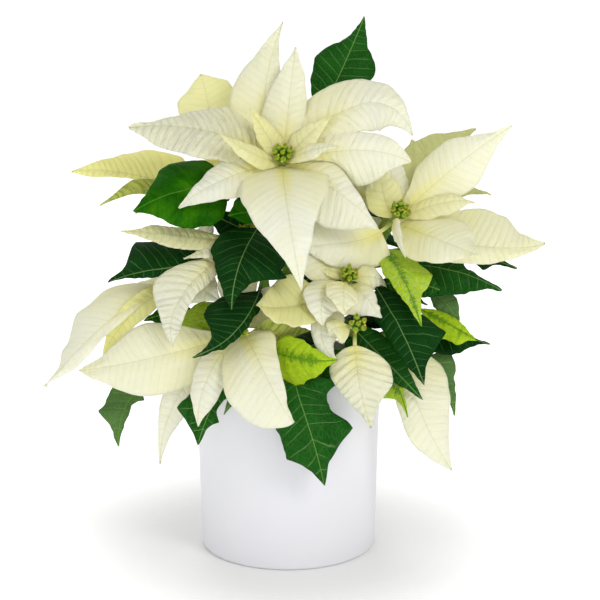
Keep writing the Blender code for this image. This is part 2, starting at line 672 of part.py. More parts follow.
def arrange():
    """Every blade in its place, as {node: [(blade, root)]}."""
    room = Room()
    rim = POT_TOP_RADIUS + CLEARANCE
    lip = POT_HEIGHT + 2
    wall = [(rim - POT_WALL - 2 * CLEARANCE, 140), (rim - POT_WALL - 4, lip), (rim, lip), (rim - 4, 0)]
    room.add("pot", *rings(wall))
    room.add("potting_mix", *rings([(0.1, SOIL_TOP + 5), (LINER_TOP_RADIUS, SOIL_TOP + 5)]))
    for name, spot in HEADS.items():
        room.add_line("stem_" + name, stem_line(name), STEM_BASE_RADIUS + 1)
        room.add_line("bracts_" + name, [spot.foot, spot.centre], HUB_RADIUS + 1)
        room.add_ball("cups_" + name, spot.centre + spot.axis * 8, 9.5)
    placed = {}
    groups = ((drawn_blades, seen_moves), (ring_blades, unseen_moves), (stem_blades, unseen_moves))
    for group, moves in groups:
        for node, b, root in by_rank(group()):
            found = settle(room, node, b, root, moves)
            if found:
                placed.setdefault(node, []).append((found, root))
            elif moves is seen_moves:
                print("NO ROOM", node, tuple(b.tip))
    return placed


def material(name, colour, roughness):
    made = bpy.data.materials.new(name)
    made.use_nodes = True
    shader = made.node_tree.nodes["Principled BSDF"]
    shader.inputs["Base Color"].default_value = (*colour, 1)
    shader.inputs["Roughness"].default_value = roughness
    return made


def keep(obj, collection, look):
    collection.objects.link(obj)
    obj.data.materials.append(look)
    return obj


def turned(name, profile, steps):
    """A body of revolution about the pot's axis, from its profile of (radius, height) points in mm."""
    mesh = bpy.data.meshes.new(name)
    points = [(r * MM, 0, z * MM) for r, z in profile]
    mesh.from_pydata(points, [(i, i + 1) for i in range(len(points) - 1)], [])
    obj = bpy.data.objects.new(name, mesh)
    screw = obj.modifiers.new("Turn", "SCREW")
    screw.steps = screw.render_steps = steps
    screw.use_merge_vertices = True
    screw.merge_threshold = 0.00001
    return obj


def arc(centre, radius, start, end, count):
    """Points on an arc in a turned profile, with its angles in degrees."""
    angles = np.radians(np.linspace(start, end, count))
    return [(centre[0] + radius * math.cos(a), centre[1] + radius * math.sin(a)) for a in angles]


def pot_profile():
    top = POT_HEIGHT - POT_WALL / 2
    inner_foot = POT_FOOT_RADIUS - POT_WALL
    return (
        [(0, POT_FLOOR)]
        + arc((inner_foot - 4, POT_FLOOR + 4), 4, -90, 0, 3)
        + arc((POT_TOP_RADIUS - POT_WALL / 2, top), POT_WALL / 2, 180, 0, 5)
        + arc((POT_FOOT_RADIUS - POT_EDGE, POT_EDGE), POT_EDGE, 0, -90, 3)
        + [(0, 0)]
    )


def liner_profile():
    foot = POT_FLOOR + GAP
    top = foot + LINER_HEIGHT - 5
    wall = LINER_WALL
    return [
        (0, foot + wall),
        (LINER_FOOT_RADIUS - wall, foot + wall),
        (LINER_TOP_RADIUS - wall, top),
        (LINER_TOP_RADIUS + LINER_LIP, top),
        (LINER_TOP_RADIUS + LINER_LIP, top - 8),
        (LINER_TOP_RADIUS + LINER_LIP - wall, top - 8),
        (LINER_TOP_RADIUS + LINER_LIP - wall, top - wall),
        (LINER_TOP_RADIUS, top - wall),
        (LINER_FOOT_RADIUS, foot),
        (0, foot),
    ]


def soil_profile():
    foot = POT_FLOOR + GAP + LINER_WALL + GAP
    taper = (LINER_TOP_RADIUS - LINER_FOOT_RADIUS) / (LINER_HEIGHT - 5)
    outer = LINER_FOOT_RADIUS - LINER_WALL - GAP
    rim = outer + taper * (SOIL_TOP - foot)
    mound = [(rim * k / 3, SOIL_TOP + 2.5 * math.cos(k / 3 * math.pi / 2)) for k in range(4)]
    return [*mound, (outer, foot), (0, foot)]


def mesh_of(obj):
    """The object's evaluated mesh, with a curve's loose caps welded on and splinters in flat faces merged."""
    graph = bpy.context.evaluated_depsgraph_get()
    mesh = bpy.data.meshes.new_from_object(obj.evaluated_get(graph))
    work = bmesh.new()
    work.from_mesh(mesh)
    bmesh.ops.remove_doubles(work, verts=work.verts, dist=0.00001)
    work.to_mesh(mesh)
    bmesh.ops.dissolve_limit(work, angle_limit=math.radians(1), verts=work.verts, edges=work.edges)
    bmesh.ops.triangulate(work, faces=work.faces)
    if all(len(edge.link_faces) == 2 for edge in work.edges):
        work.to_mesh(mesh)
    work.free()
    return mesh


def stem_tube(name, collection):
    """A stem as a mesh, from a round-bevelled curve that thins towards its head."""
    curve = bpy.data.curves.new(name, "CURVE")
    curve.dimensions = "3D"
    curve.bevel_depth = MM
    curve.bevel_resolution = 1
    curve.use_fill_caps = True
    spline = curve.splines.new("POLY")
    line = stem_line(name[5:])
    spline.points.add(len(line) - 1)
    for i, p in enumerate(line):
        spline.points[i].co = (*(p * MM), 1)
        share = i / (len(line) - 1)
        spline.points[i].radius = STEM_BASE_RADIUS + (STEM_TOP_RADIUS - STEM_BASE_RADIUS) * share
    tube = bpy.data.objects.new(name + "_line", curve)
    collection.objects.link(tube)
    bpy.context.view_layer.update()
    mesh = mesh_of(tube)
    bpy.data.objects.remove(tube)
    bpy.data.curves.remove(curve)
    return bpy.data.objects.new(name, mesh)


def along_axis(spot, distance):
    """A matrix that stands a shape on a head's axis, a distance in mm above its middle."""
    turn = spot.axis.to_track_quat("Z", "Y").to_matrix().to_4x4()
    return Matrix.Translation((spot.centre + spot.axis * distance) * MM) @ turn


def hub(name, spot):
    """The short end of the shoot that a head's bracts grow from."""
    work = bmesh.new()
    bmesh.ops.create_cone(
        work,
        cap_ends=True,
        segments=8,
        radius1=HUB_RADIUS * 0.8 * MM,
        radius2=HUB_RADIUS * MM,
        depth=HUB_LENGTH * MM,
        matrix=along_axis(spot, -HUB_LENGTH / 2),
    )
    mesh = bpy.data.meshes.new(name)
    work.to_mesh(mesh)
    work.free()
    return bpy.data.objects.new(name, mesh)


def blade_object(name, b, root):
    """A blade as a grid drawn out to its surface and thickened."""
    rows = stations(b)
    work = bmesh.new()
    bmesh.ops.create_grid(work, x_segments=len(rows) - 1, y_segments=2, size=1)
    for v in work.verts:
        row = round((v.co.x + 1) / 2 * (len(rows) - 1))
        point, _ = surface(b, root, rows[row], round(v.co.y))
        v.co = Vector(point) * MM
    bmesh.ops.triangulate(work, faces=work.faces)
    mesh = bpy.data.meshes.new(name)
    work.to_mesh(mesh)
    work.free()
    obj = bpy.data.objects.new(name, mesh)
    thick = obj.modifiers.new("Thickness", "SOLIDIFY")
    thick.thickness = BLADE_THICKNESS * MM
    thick.offset = 0
    return obj


def fuse(body, pieces, name):
    """One union of a body with its pieces, which are then removed."""
    group = bpy.data.collections.new(name + "_pieces")
    bpy.context.scene.collection.children.link(group)
    for piece in pieces:
        group.objects.link(piece)
    union = body.modifiers.new("Join", "BOOLEAN")
    union.operation = "UNION"
    union.operand_type = "COLLECTION"
    union.collection = group
    union.solver = "MANIFOLD"
    bpy.context.view_layer.update()
    mesh = mesh_of(body)
    body.modifiers.clear()
    body.data = mesh
    for piece in pieces:
        bpy.data.objects.remove(piece)
    bpy.data.collections.remove(group)


def cups(name, spot):
    """The cluster of small green cups in the middle of a head: a low disc, and the cups that stand in it."""
    ring = max(CUP_RADIUS * 2.1, spot.cups * CUP_RADIUS * 2.15 / (2 * math.pi))
    work = bmesh.new()
    bmesh.ops.create_cone(
        work,
        cap_ends=True,
        segments=8,
        radius1=HUB_RADIUS * 0.8 * MM,
        radius2=(ring + 0.5) * MM,
        depth=CUP_DISC * MM,
        matrix=along_axis(spot, GAP + CUP_DISC / 2),
    )
    mesh = bpy.data.meshes.new(name)
    work.to_mesh(mesh)
    work.free()
    body = bpy.data.objects.new(name, mesh)
    pieces = []
    for k in range(spot.cups + 1):
        angle = 2 * math.pi * (k + 0.37) / spot.cups
        out = ring if k < spot.cups else 0
        side = Matrix.Translation((out * MM * math.cos(angle), out * MM * math.sin(angle), 0))
        place = along_axis(spot, GAP + CUP_DISC + 1.6) @ side @ Matrix.Diagonal((1, 1, 1.4, 1))
        cup = bmesh.new()
        bmesh.ops.create_icosphere(cup, subdivisions=1, radius=CUP_RADIUS * MM, matrix=place)
        piece = bpy.data.meshes.new(f"cup_{k}")
        cup.to_mesh(piece)
        cup.free()
        pieces.append(bpy.data.objects.new(f"{name}_{k}", piece))
    return body, pieces


def stem_holes(soil, cutters):
    """One plain hole in the potting mix for each stem."""
    for name, spot in HEADS.items():
        bpy.ops.mesh.primitive_cylinder_add(
            vertices=8,
            radius=(STEM_BASE_RADIUS + 2 * GAP) * MM,
            depth=60 * MM,
            location=(spot.route[0][0] * MM, spot.route[0][1] * MM, (SOIL_HOLE_FLOOR + 30) * MM),
        )
        cutter = bpy.context.object
        cutter.name = "hole_" + name
        cutter.hide_render = True
        cutter.display_type = "WIRE"
        for other in list(cutter.users_collection):
            other.objects.unlink(cutter)
        cutters.objects.link(cutter)
    cut = soil.modifiers.new("Holes", "BOOLEAN")
    cut.operation = "DIFFERENCE"
    cut.operand_type = "COLLECTION"
    cut.collection = cutters
    cut.solver = "EXACT"


def main():
    for obj in list(bpy.data.objects):
        bpy.data.objects.remove(obj)
    plant = bpy.data.collections.new("Potted poinsettia")
    cutters = bpy.data.collections.new("Cutters")
    for group in (plant, cutters):
        bpy.context.scene.collection.children.link(group)
    glaze = material("White glaze", (0.88, 0.88, 0.9), 0.35)
    plastic = material("Liner plastic", (0.05, 0.05, 0.05), 0.6)
    peat = material("Potting mix", (0.05, 0.03, 0.02), 0.95)
    cream = material("Bract", CREAM, 0.55)
    green = material("Leaf", LEAF_GREEN, 0.5)
    lime = material("Cups", CUP_GREEN, 0.5)
    keep(turned("pot", pot_profile(), 40), plant, glaze)
    keep(turned("liner", liner_profile(), 24), plant, plastic)
    soil = keep(turned("potting_mix", soil_profile(), 24), plant, peat)
    stem_holes(soil, cutters)
    placed = arrange()
    for name, spot in HEADS.items():
        for node, look, body in (
            ("stem_" + name, green, stem_tube("stem_" + name, plant)),
            ("bracts_" + name, cream, hub("bracts_" + name, spot)),
        ):
            keep(body, plant, look)
            blades = enumerate(placed.get(node, []))
            pieces = [blade_object(f"{node}_{i}", b, root) for i, (b, root) in blades]
            if pieces:
                fuse(body, pieces, node)
        body, pieces = cups("cups_" + name, spot)
        keep(body, plant, lime)
        fuse(body, pieces, "cups_" + name)


main()
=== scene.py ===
"""The looks of a white poinsettia in a round glazed pot.

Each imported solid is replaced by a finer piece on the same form: the blades' midribs, outlines and places come
from the rules and lengths that the part's source uses, and veins, puckers and waved edges are added to them.
Lengths are in millimetres until a mesh is made. +Z is up and -Y is the front.
"""

from math import cos, pi, radians, sin
from types import SimpleNamespace

import bmesh
import bpy
import numpy as np
from mathutils import Matrix, Vector
from mathutils.bvhtree import BVHTree


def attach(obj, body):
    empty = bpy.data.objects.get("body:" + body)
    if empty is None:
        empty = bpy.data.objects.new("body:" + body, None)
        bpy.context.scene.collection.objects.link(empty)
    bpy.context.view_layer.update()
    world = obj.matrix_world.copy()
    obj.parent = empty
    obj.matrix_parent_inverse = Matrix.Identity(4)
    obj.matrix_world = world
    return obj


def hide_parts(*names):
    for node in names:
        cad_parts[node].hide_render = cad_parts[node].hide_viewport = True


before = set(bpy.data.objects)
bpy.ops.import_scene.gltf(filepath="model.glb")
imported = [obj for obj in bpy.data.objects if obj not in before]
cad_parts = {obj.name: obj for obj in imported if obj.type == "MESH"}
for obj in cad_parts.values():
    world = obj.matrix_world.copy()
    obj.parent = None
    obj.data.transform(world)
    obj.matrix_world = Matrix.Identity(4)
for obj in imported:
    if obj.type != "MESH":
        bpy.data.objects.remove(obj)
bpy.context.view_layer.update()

MM = 0.001
GAP = 0.3

EYE = Vector((9.5, -1500.0, 561.0))
LENS = 114.96
PITCH = 13.38

POT_HEIGHT = 155.0
POT_TOP_RADIUS = 75.0
POT_FOOT_RADIUS = 71.0
POT_WALL = 5.0
POT_FLOOR = 7.0
POT_EDGE = 3.0
POT_FILLET = 4

LINER_HEIGHT = 138.0
LINER_TOP_RADIUS = 63.0
LINER_FOOT_RADIUS = 50.0
LINER_WALL = 1.4

SOIL_TOP = 134.0
SOIL_MOUND = 2.5
STEM_FOOT = 105.0
STEM_STRAIGHT = 142.0
STEM_BASE_RADIUS = 3.8
STEM_TOP_RADIUS = 2.4
STEM_NECK = 6.0

HUB_LENGTH = 16.0
HUB_RADIUS = 3.4
CUP_RADIUS = 2.5
CUP_DISC = 3.0
STALK_HALF_WIDTH = 1.5
TIP_HALF_WIDTH = 0.4
BLADE_THICKNESS = 0.9
CLEARANCE = 2.0


def head(centre, axis, route, cups):
    """A flower head: its middle, the way it faces, the points its stem passes, and its number of cups."""
    axis = Vector(axis).normalized()
    centre = Vector(centre)
    return SimpleNamespace(
        centre=centre, axis=axis, route=route, cups=cups, foot=centre - axis * HUB_LENGTH
    )


HEADS = {
    "top": head((-4, -30, 325), (0, -0.72, 0.69), [(0, 0), (-1, 2, 200), (-4, -4, 290)], 7),
    "right": head((86, -25, 279), (0.3, -0.62, 0.72), [(24, -6), (38, -7, 190), (66, -8, 240)], 7),
    "middle": head((47, -52, 234), (0.1, -0.6, 0.8), [(17, -21), (26, -28, 185), (42, -40, 212)], 6),
    "low": head((53, -80, 203), (0.15, -0.85, 0.5), [(9, -34), (18, -42, 168), (36, -56, 192)], 5),
    "low_left": head((-36, -80, 200), (-0.1, -0.85, 0.5), [(-12, -32), (-18, -42, 165), (-30, -58, 185)], 7),
    "left": head((-30, -34, 265), (-0.35, -0.5, 0.8), [(-10, -12), (-14, -14, 190), (-20, -22, 236)], 5),
    "far_left": head((-90, -20, 230), (-0.6, -0.2, 0.77), [(-28, -3), (-38, -5, 165), (-66, -12, 202)], 5),
    "back_left": head((-66, 36, 287), (-0.45, 0.3, 0.84), [(-19, 16), (-26, 18, 190), (-48, 28, 250)], 5),
    "back": head((2, 78, 296), (0, 0.6, 0.8), [(0, 29), (0, 36, 200), (1, 58, 262)], 5),
    "back_right": head((84, 66, 262), (0.5, 0.45, 0.74), [(22, 19), (32, 28, 180), (62, 50, 232)], 5),
    "low_right": head((96, -24, 192), (0.75, -0.35, 0.56), [(35, -2), (46, -6, 160), (72, -16, 178)], 5),
}
BRACTS = {name: [] for name in HEADS}
LEAVES = {name: [] for name in HEADS}

EDGE_STATIONS = (0, 0.04, 0.15, 0.3, 0.5, 0.7, 0.85, 1)
OVATE = (0.25, 0.62, 0.95, 0.9, 0.52, 0.24)
LOBE_REACH = 0.16


def blade(tip, left, right=None, arch=0.1, **more):
    """A leaf or bract: where its tip is, and how wide it is on either side of its midrib.

    left and right are half widths in mm at the edge stations, seen from the blade's base with its upper
    side up; one number is the whole width of an even, ovate blade. arch is how far the midrib bows as a
    share of its length, or belly gives the bow as a vector. hook moves the outer half of the midrib.
    face is the way the upper side looks, roll and twist turn it about the midrib in degrees, and fold and
    curl bend it across. stalk is the stalk's share of the length. lobes are points on the edge, as (share
    of the blade's length, height, side, reach along it). Blades of a low rank are placed first. fine holds
    what the dressed blade has otherwise than the one that is placed.
    """
    if right is None:
        left, right = ([left / 2 * share for share in OVATE] if not hasattr(left, "__len__") else left,) * 2
    shape = dict(face=None, belly=None, hook=(0, 0, 0), roll=0, twist=0, fold=12, curl=-24)
    shape.update(stalk=0.13, lobes=(), rank=1, hue=0, pucker=0.7, fine={}, width=max(left) + max(right))
    shape.update(more)
    return SimpleNamespace(tip=Vector(tip), left=left, right=right, arch=arch, **shape)


def bract(name, *shape, **more):
    """Adds a bract that the photo shows to the head it grows on."""
    BRACTS[name].append(blade(*shape, **more))


def leaf(name, height, *shape, **more):
    """Adds a leaf that the photo shows to the stem of a head, at its root's height above the pot's foot."""
    LEAVES[name].append((height, blade(*shape, **more)))


OAK = ((0.22, 0.3, -1), (0.26, 0.3, 1), (0.5, 0.5, 1), (0.54, 0.5, -1))
SPADE = ((0.1, 0.45, -1), (0.14, 0.45, 1))
SHOULDER = ((0.4, 0.2, 1),)
TO_FRONT = (0, -0.9, 0.42)
TO_SKY = (0, -0.5, 0.86)

# A bract's hue runs from cream (0) through yellow (to 0.6) to dull (0.65 to 0.8) and olive (0.85 to 1); the
# dull and olive tones are partly the bract's own greenish tone and partly painted shade for bracts that lie in
# shadow.
bract("top", (11, -98, 235), (18, 31, 30, 22, 11, 5), (30, 34, 35.5, 27, 15.5, 7.5), belly=(-3, -26, 16),
      fold=14, stalk=0.03, pucker=0.45,
      fine=dict(left=(27, 34, 33, 22.5, 14, 7), right=(26, 32, 34, 27, 15.5, 6), fold=20))
bract("top", (95, -44, 323), (3, 8, 15, 15, 14, 8), (2, 4, 8, 28, 22, 10), belly=(4, -8, 12),
      face=(0.1, -0.9, 0.4), roll=-12, stalk=0.06)
bract("top", (97, -22, 341), (10, 26, 32, 27, 18, 8), (6, 14, 19, 22, 21, 12), belly=(-2, -4, 26),
      hook=(14, 0, 22), face=(0, -0.75, 0.65), pucker=1)
bract("top", (6, 0, 407), (3, 15, 21.5, 19, 11, 5), (3, 9, 13, 14, 10, 5), arch=0.04, fold=16, stalk=0.08)
bract("top", (-4, 26, 424), (2, 20, 29, 24, 12, 5), (2, 8, 14, 12, 6, 2), belly=(-19, -2, 2), hook=(14, 0, 0))
bract("top", (-83, -58, 290), (5, 14, 19, 16, 10, 5), (5, 12, 17.5, 14, 8, 4), belly=(-4, -12, 8),
      face=(-0.1, -0.85, 0.5), stalk=0.08, pucker=1)
bract("top", (-123, -26, 347), (5, 15, 23, 27, 24, 14), (10, 32, 38, 29, 15, 6), belly=(6, -4, 12),
      face=(0, -0.6, 0.8), fold=16, stalk=0.08, pucker=2.2)
bract("top", (70, -58, 274), (4, 11, 19, 13, 7, 3), (5, 15, 25, 28, 22, 12), belly=(4, -12, 6),
      face=(0.1, -0.95, 0.3), stalk=0.06)
bract("top", (-53, -58, 350), (3, 7, 10, 9, 6, 3), (3, 7, 9, 8, 5, 2), belly=(0, -6, -3), stalk=0.06,
      hue=0.36)
bract("top", (-29, -46, 365), 20, arch=0.04, fold=24, stalk=0.06, hue=0.42)
bract("top", (34, -54, 361), 22, arch=0.06, fold=20, stalk=0.06, hue=0.32)
bract("top", (38, -72, 340), 18, belly=(0, -4, 4), stalk=0.06, hue=0.14)
bract("top", (-19, -28, 350), 10, arch=0.05, stalk=0.05, hue=0.5)
bract("top", (12, -30, 347), 9, arch=0.05, stalk=0.05, hue=0.4)
bract("right", (145, -78, 258), (8, 18, 28, 27, 17, 7), (8, 18, 23, 21, 11, 5), belly=(4, -12, 0),
      face=(0.2, -0.8, 0.55), stalk=0.06, hue=0.16, pucker=0.45)
bract("right", (175, -14, 347), (5, 11, 21, 22, 11, 4), (4, 10, 18, 23, 13, 6), belly=(0, -6, 6),
      face=(0.1, -0.95, 0.3), fold=6, stalk=0.08, hue=0.08, pucker=0.4)
bract("right", (203, -18, 254), (6, 20, 33, 42, 34, 12), (6, 14, 18, 14, 9, 5), belly=(4, -8, -8),
      face=(0.15, -0.75, 0.65), stalk=0.08, hue=0.22)
bract("right", (144, -46, 292), (2, 6, 8, 9, 7, 3), (2, 7, 11, 11, 7, 3), belly=(4, -8, 8),
      face=(0.1, -0.7, 0.7), stalk=0.06, hue=0.3)
bract("right", (89, -88, 258), 14, belly=(-4, -10, 8), face=(-0.75, -0.6, 0.2), stalk=0.06)
bract("right", (72, -28, 323), (4, 10, 15, 14, 9, 4), (4, 9, 14, 14, 9, 4), belly=(-4, -6, -2),
      face=(-0.1, -0.95, 0.2), stalk=0.06, hue=0.36)
bract("right", (12, -52, 258), (20, 23, 23, 20, 15, 8), (8, 14, 18, 18, 12, 7), belly=(0, -4, -12),
      hook=(0, 0, 16), face=(-0.1, -0.95, 0.3), stalk=0.16, hue=0.1, pucker=0.4,
      fine=dict(right=(8, 14, 19, 23, 22, 15)))
bract("right", (151, 30, 338), (4, 14, 24, 24, 15, 6), (5, 12, 16, 14, 9, 4), belly=(-4, 6, 8),
      face=(0.1, -0.7, 0.7), hue=0.8)
bract("right", (99, 28, 330), 30, belly=(6, 4, 8), face=(0.1, -0.6, 0.8), hue=0.75)
bract("middle", (43, -104, 229), (4, 9, 14, 14, 10, 6), belly=(-2, -8, 10), face=(0.1, -1, 0.2), stalk=0.2,
      hue=0.2)
bract("middle", (27, -92, 206), (5, 12, 17, 18, 14, 7), (5, 12, 17, 16, 11, 6), belly=(-8, -8, 10),
      face=(-0.1, -0.9, 0.3), stalk=0.1)
bract("middle", (71, -92, 212), (5, 9, 11, 9, 6, 3), (8, 18, 24, 22, 14, 6), belly=(0, -8, 6),
      face=(0.1, -0.7, 0.7), stalk=0.1, hue=0.1)
bract("middle", (70, -70, 231), 22, belly=(2, -6, 8), face=(0.1, -0.8, 0.6), hue=0.2)
bract("middle", (20, -66, 242), 18, belly=(0, -2, 6), face=(0, -0.5, 0.8), hue=0.4,
      fine=dict(left=(3, 5, 6, 5, 3, 2)))
bract("middle", (-24, -84, 220), (7, 15, 21, 21, 17, 10), (12, 24, 27, 25, 19, 11), belly=(0, -6, -6),
      face=(-0.1, -0.75, 0.65), stalk=0.25, hue=0.68, pucker=0.3, fine=dict(fold=34))
bract("middle", (37, -103, 181), (4, 9, 12, 12, 9, 5), (4, 9, 12, 13, 10, 6), belly=(-16, -14, 3),
      face=(-0.1, -1, 0.2), hue=0.1, fine=dict(left=(5, 12, 17, 17, 12, 6), right=(4, 8, 9, 8, 6, 4)))
bract("low", (63, -106, 130), (11, 21, 27, 25, 15, 6), (11, 18, 22, 18, 10, 4), belly=(-4, -6, 4),
      face=(0, -1, 0.15), stalk=0.2, pucker=1.7,
      fine=dict(left=(8, 18, 25, 27, 17, 7), right=(9, 18, 21, 17, 9, 4)))
bract("low", (33, -96, 199), 16, belly=(-6, -4, 4), face=(0, -0.9, 0.4), hue=0.2,
      fine=dict(left=(5, 10, 13, 12, 8, 4)))
bract("low_left", (5, -122, 139), (18, 20, 16, 12, 8, 4), (12, 24, 30, 34, 30, 22), belly=(-2, -18, 15),
      hook=(0, -4, -18), face=(0.1, -1, 0.25), stalk=0.05, rank=0, pucker=0.4)
bract("low_left", (-163, -60, 162), (6, 18, 28, 29, 22, 10), (5, 12, 22, 29, 19, 8), belly=(0, -14, 0),
      face=(-0.1, -0.93, 0.35), stalk=0.08, hue=0.1, pucker=0.6)
bract("low_left", (-68, -104, 130), (4, 9, 13, 12, 8, 3), belly=(-8, -10, 6), face=(-0.2, -0.95, 0.2),
      stalk=0.08, fine=dict(left=(4, 9, 13, 14, 12, 6)))
bract("low_left", (-100, -66, 88), (3, 6, 10, 12, 8, 4), (3, 6, 10, 12, 7, 3), belly=(-14, -6, 8),
      face=(-0.1, -0.95, 0.1), stalk=0.1, rank=0)
bract("low_left", (17, -90, 196), 40, belly=(0, -6, -2), face=(0.1, -0.6, -0.6), hue=1)
bract("left", (-87, -90, 189), (3, 8, 12, 17, 15, 10), (4, 12, 20, 25, 11, 8), belly=(-20, -14, 8),
      face=(-0.3, -0.85, 0.4), fold=16, stalk=0.08, pucker=1.5,
      fine=dict(left=(3, 7, 9, 10, 9, 7), right=(4, 8, 19, 27, 12, 5)))
bract("left", (-129, -50, 271), (4, 10, 13, 14, 9, 4), (4, 7, 10, 11, 10, 4), belly=(0, -6, 2),
      face=(0, -0.5, 0.86), fold=18, hue=0.35, pucker=1.8)
bract("left", (-80, -60, 251), 18, belly=(0, -4, 2), face=(0, -0.6, 0.8), hue=0.2, pucker=1.4)
bract("left", (-41, -70, 204), (4, 12, 18, 17, 11, 5), (4, 10, 14, 14, 9, 4), belly=(-5, -8, 4),
      face=(0, -0.95, 0.2), hue=0.2)
bract("far_left", (-190, -62, 150), (4, 6, 8, 9, 10, 5), (8, 24, 38, 38, 18, 5), belly=(-4, -16, 22),
      hook=(0, 0, -22), face=(-0.4, -0.75, 0.5), twist=-20, pucker=0.4)
bract("far_left", (-144, -56, 172), (5, 9, 10, 9, 7, 4), belly=(-4, -22, 12), face=(-0.2, -0.9, 0.3),
      fold=-10, curl=20, hue=0.55)
bract("back_left", (-172, 4, 308), (3, 5, 4, 4, 6.5, 5), (12, 30, 30, 20, 9, 4), belly=(-4, 0, 10),
      face=(0, -0.8, 0.6), fold=14, hue=0.6, pucker=1)
bract("back_left", (-71, 50, 380), (2, 6, 14, 22, 25, 16), (2, 6, 14, 22, 24, 19), belly=(4, -6, 8),
      face=(0, -0.9, 0.5), hue=0.36, pucker=0.4)
bract("back_left", (-148, -14, 284), (3, 6, 6, 5, 3, 2), (4, 7, 10, 11, 8, 2), belly=(0, -6, 14),
      face=(0, -0.7, 0.7), lobes=((0.6, 0.4, 1),), hue=1)
bract("back_right", (167, 58, 279), 30, belly=(0, 0, 14), hue=0.8)
bract("low_right", (129, -62, 81), (8, 24, 33, 31, 23, 12), (4, 8, 12, 15, 17, 11), belly=(-12, -18, 12),
      face=(0.25, -0.95, 0.2), hue=0.1, pucker=0.6)

leaf("top", 296, (61, 42, 427), (6, 16, 22, 20, 8.5, 3), (3, 12, 24, 25, 13, 6), stalk=0.4, belly=(4, -4, 4),
     face=TO_FRONT, lobes=((0.46, 0.18, -1),), hue=0.15)
leaf("top", 292, (-118, -56, 287), (15, 30, 33, 28, 13, 5), (13, 25, 28, 28, 14, 6), stalk=0.38,
     belly=(0, -4, 14), face=(-0.1, -0.8, 0.6), hue=0.55, fine=dict(left=(15, 30, 33, 31, 23, 9)))
leaf("top", 284, (-42, -98, 220), (10, 22, 26, 16, 5, 2), (12, 23, 28, 24, 13, 6), stalk=0.33,
     belly=(10, -12, 10), face=(-0.2, -0.85, 0.4), rank=0, fine=dict(belly=(-8, -12, 10),
     left=(12, 25, 33, 29, 10, 4), right=(14, 25, 29, 20, 12, 6), lobes=((0.48, 0.3, -1, 0.09),)))
leaf("top", 276, (-46, -46, 282), (3, 6, 8, 9, 9, 5), stalk=0.2, face=TO_FRONT, hue=0.5,
     fine=dict(right=(6, 12, 16, 17, 14, 7)))
leaf("top", 240, (-65, -10, 278), (5, 12, 15, 15, 11, 6), (4, 10, 13, 12, 8, 4), stalk=0.25, face=TO_FRONT)
leaf("top", 262, (34, -30, 250), 48, stalk=0.25, belly=(4, -6, 8), face=TO_FRONT)
leaf("right", 252, (102, -86, 204), (6, 12.5, 17.5, 21, 9, 3), (4, 10, 12.5, 9, 6.5, 3.5), stalk=0.14,
     belly=(0, -8, 10), face=(0.1, -0.9, 0.3), lobes=((0.5, 0.15, -1),), hue=0.85)
leaf("right", 230, (104, -98, 161), (5, 12, 18, 26, 21, 7), (6, 12, 14, 12, 9, 5), stalk=0.24,
     belly=(0, -16, 12), face=(0.1, -0.93, 0.3), lobes=((0.62, 0.4, -1),))
leaf("right", 232, (168, -32, 219), (8, 15, 19, 14, 8, 4), (10, 20, 27, 22, 13, 5), stalk=0.3,
     belly=(0, -6, 12), face=(0.1, -0.6, 0.75), lobes=((0.52, 0.3, -1),), hue=0.1,
     fine=dict(left=(8, 15, 18, 12, 5, 2), lobes=((0.5, 0.4, -1, 0.1),)))
leaf("right", 244, (185, 14, 227), 36, stalk=0.3, belly=(0, 0, 10), face=TO_SKY, lobes=((0.62, 0.4, 1),),
     fine=dict(left=(4, 7, 9, 8, 6, 3), right=(3, 6, 8, 8, 6, 3)))
leaf("right", 222, (148, -48, 183), (3, 6, 8, 7.5, 5, 2.5), (3, 6, 9, 12, 12, 4), stalk=0.5, belly=(3, -6, 2),
     face=(0.3, -0.85, 0.4), hue=0.97)
leaf("right", 212, (117, -62, 227), (3, 5, 8, 10, 10, 7), stalk=0.3, belly=(0, -4, 8), face=TO_FRONT, hue=0.2)
leaf("right", 216, (135, -34, 192), (3, 6, 9, 9, 6, 3), stalk=0.6, belly=(10, -2, 16), face=TO_FRONT, hue=0.3)
leaf("middle", 205, (103, -96, 149), (5, 10, 13, 12, 9, 4), (5, 8, 9, 8, 5, 2.5), stalk=0.25,
     belly=(-4, -14, 8), face=(-0.1, -0.95, 0.2), hue=0.1, fine=dict(right=(12, 18, 16, 11, 7, 3)))
leaf("low", 160, (28, -101, 82), (6, 14, 23, 22, 24, 11), (8, 14, 17, 18, 18, 10), stalk=0.15,
     belly=(-20, -34, 34), hook=(20, 0, 0), face=(0, -1, 0.1), hue=0.15,
     lobes=((0.33, 0.55, -1, 0.13), (0.69, 0.5, -1), (0.84, 0.4, 1, 0.1)),
     fine=dict(left=(6, 14, 25, 20, 24, 10), right=(9, 16, 21, 25, 24, 12),
     lobes=((0.34, 0.6, -1, 0.12), (0.76, 0.6, -1, 0.14), (0.82, 0.45, 1, 0.1))))
leaf("low", 172, (46, -88, 152), 26, stalk=0.3, belly=(0, -14, 14), face=(0, -0.95, 0.2), hue=0.5)
leaf("low_left", 186, (38, -98, 181), (10, 15, 15, 12, 7, 3), (12, 19, 21, 17, 10, 4), stalk=0.3,
     belly=(0, -14, -2), face=(0, -1, 0.1), lobes=((0.35, 0.25, 1),), rank=0, hue=1)
leaf("low_left", 160, (-70, -74, 106), (5, 9, 12, 14, 12, 6), (4, 8, 13, 18, 20, 11), stalk=0.3,
     belly=(-2, -14, 24), face=(-0.2, -0.95, 0.2), rank=0, hue=0.2, lobes=((0.78, 0.5, 1), (0.7, 0.4, -1)),
     fine=dict(left=(5, 8, 8, 6, 5, 3), lobes=((0.78, 0.5, 1), (0.75, 0.3, -1, 0.1))))
leaf("low_left", 150, (-49, -86, 134), 16, stalk=0.5, belly=(4, -14, 20), face=(0, -1, 0.2), hue=0.3)
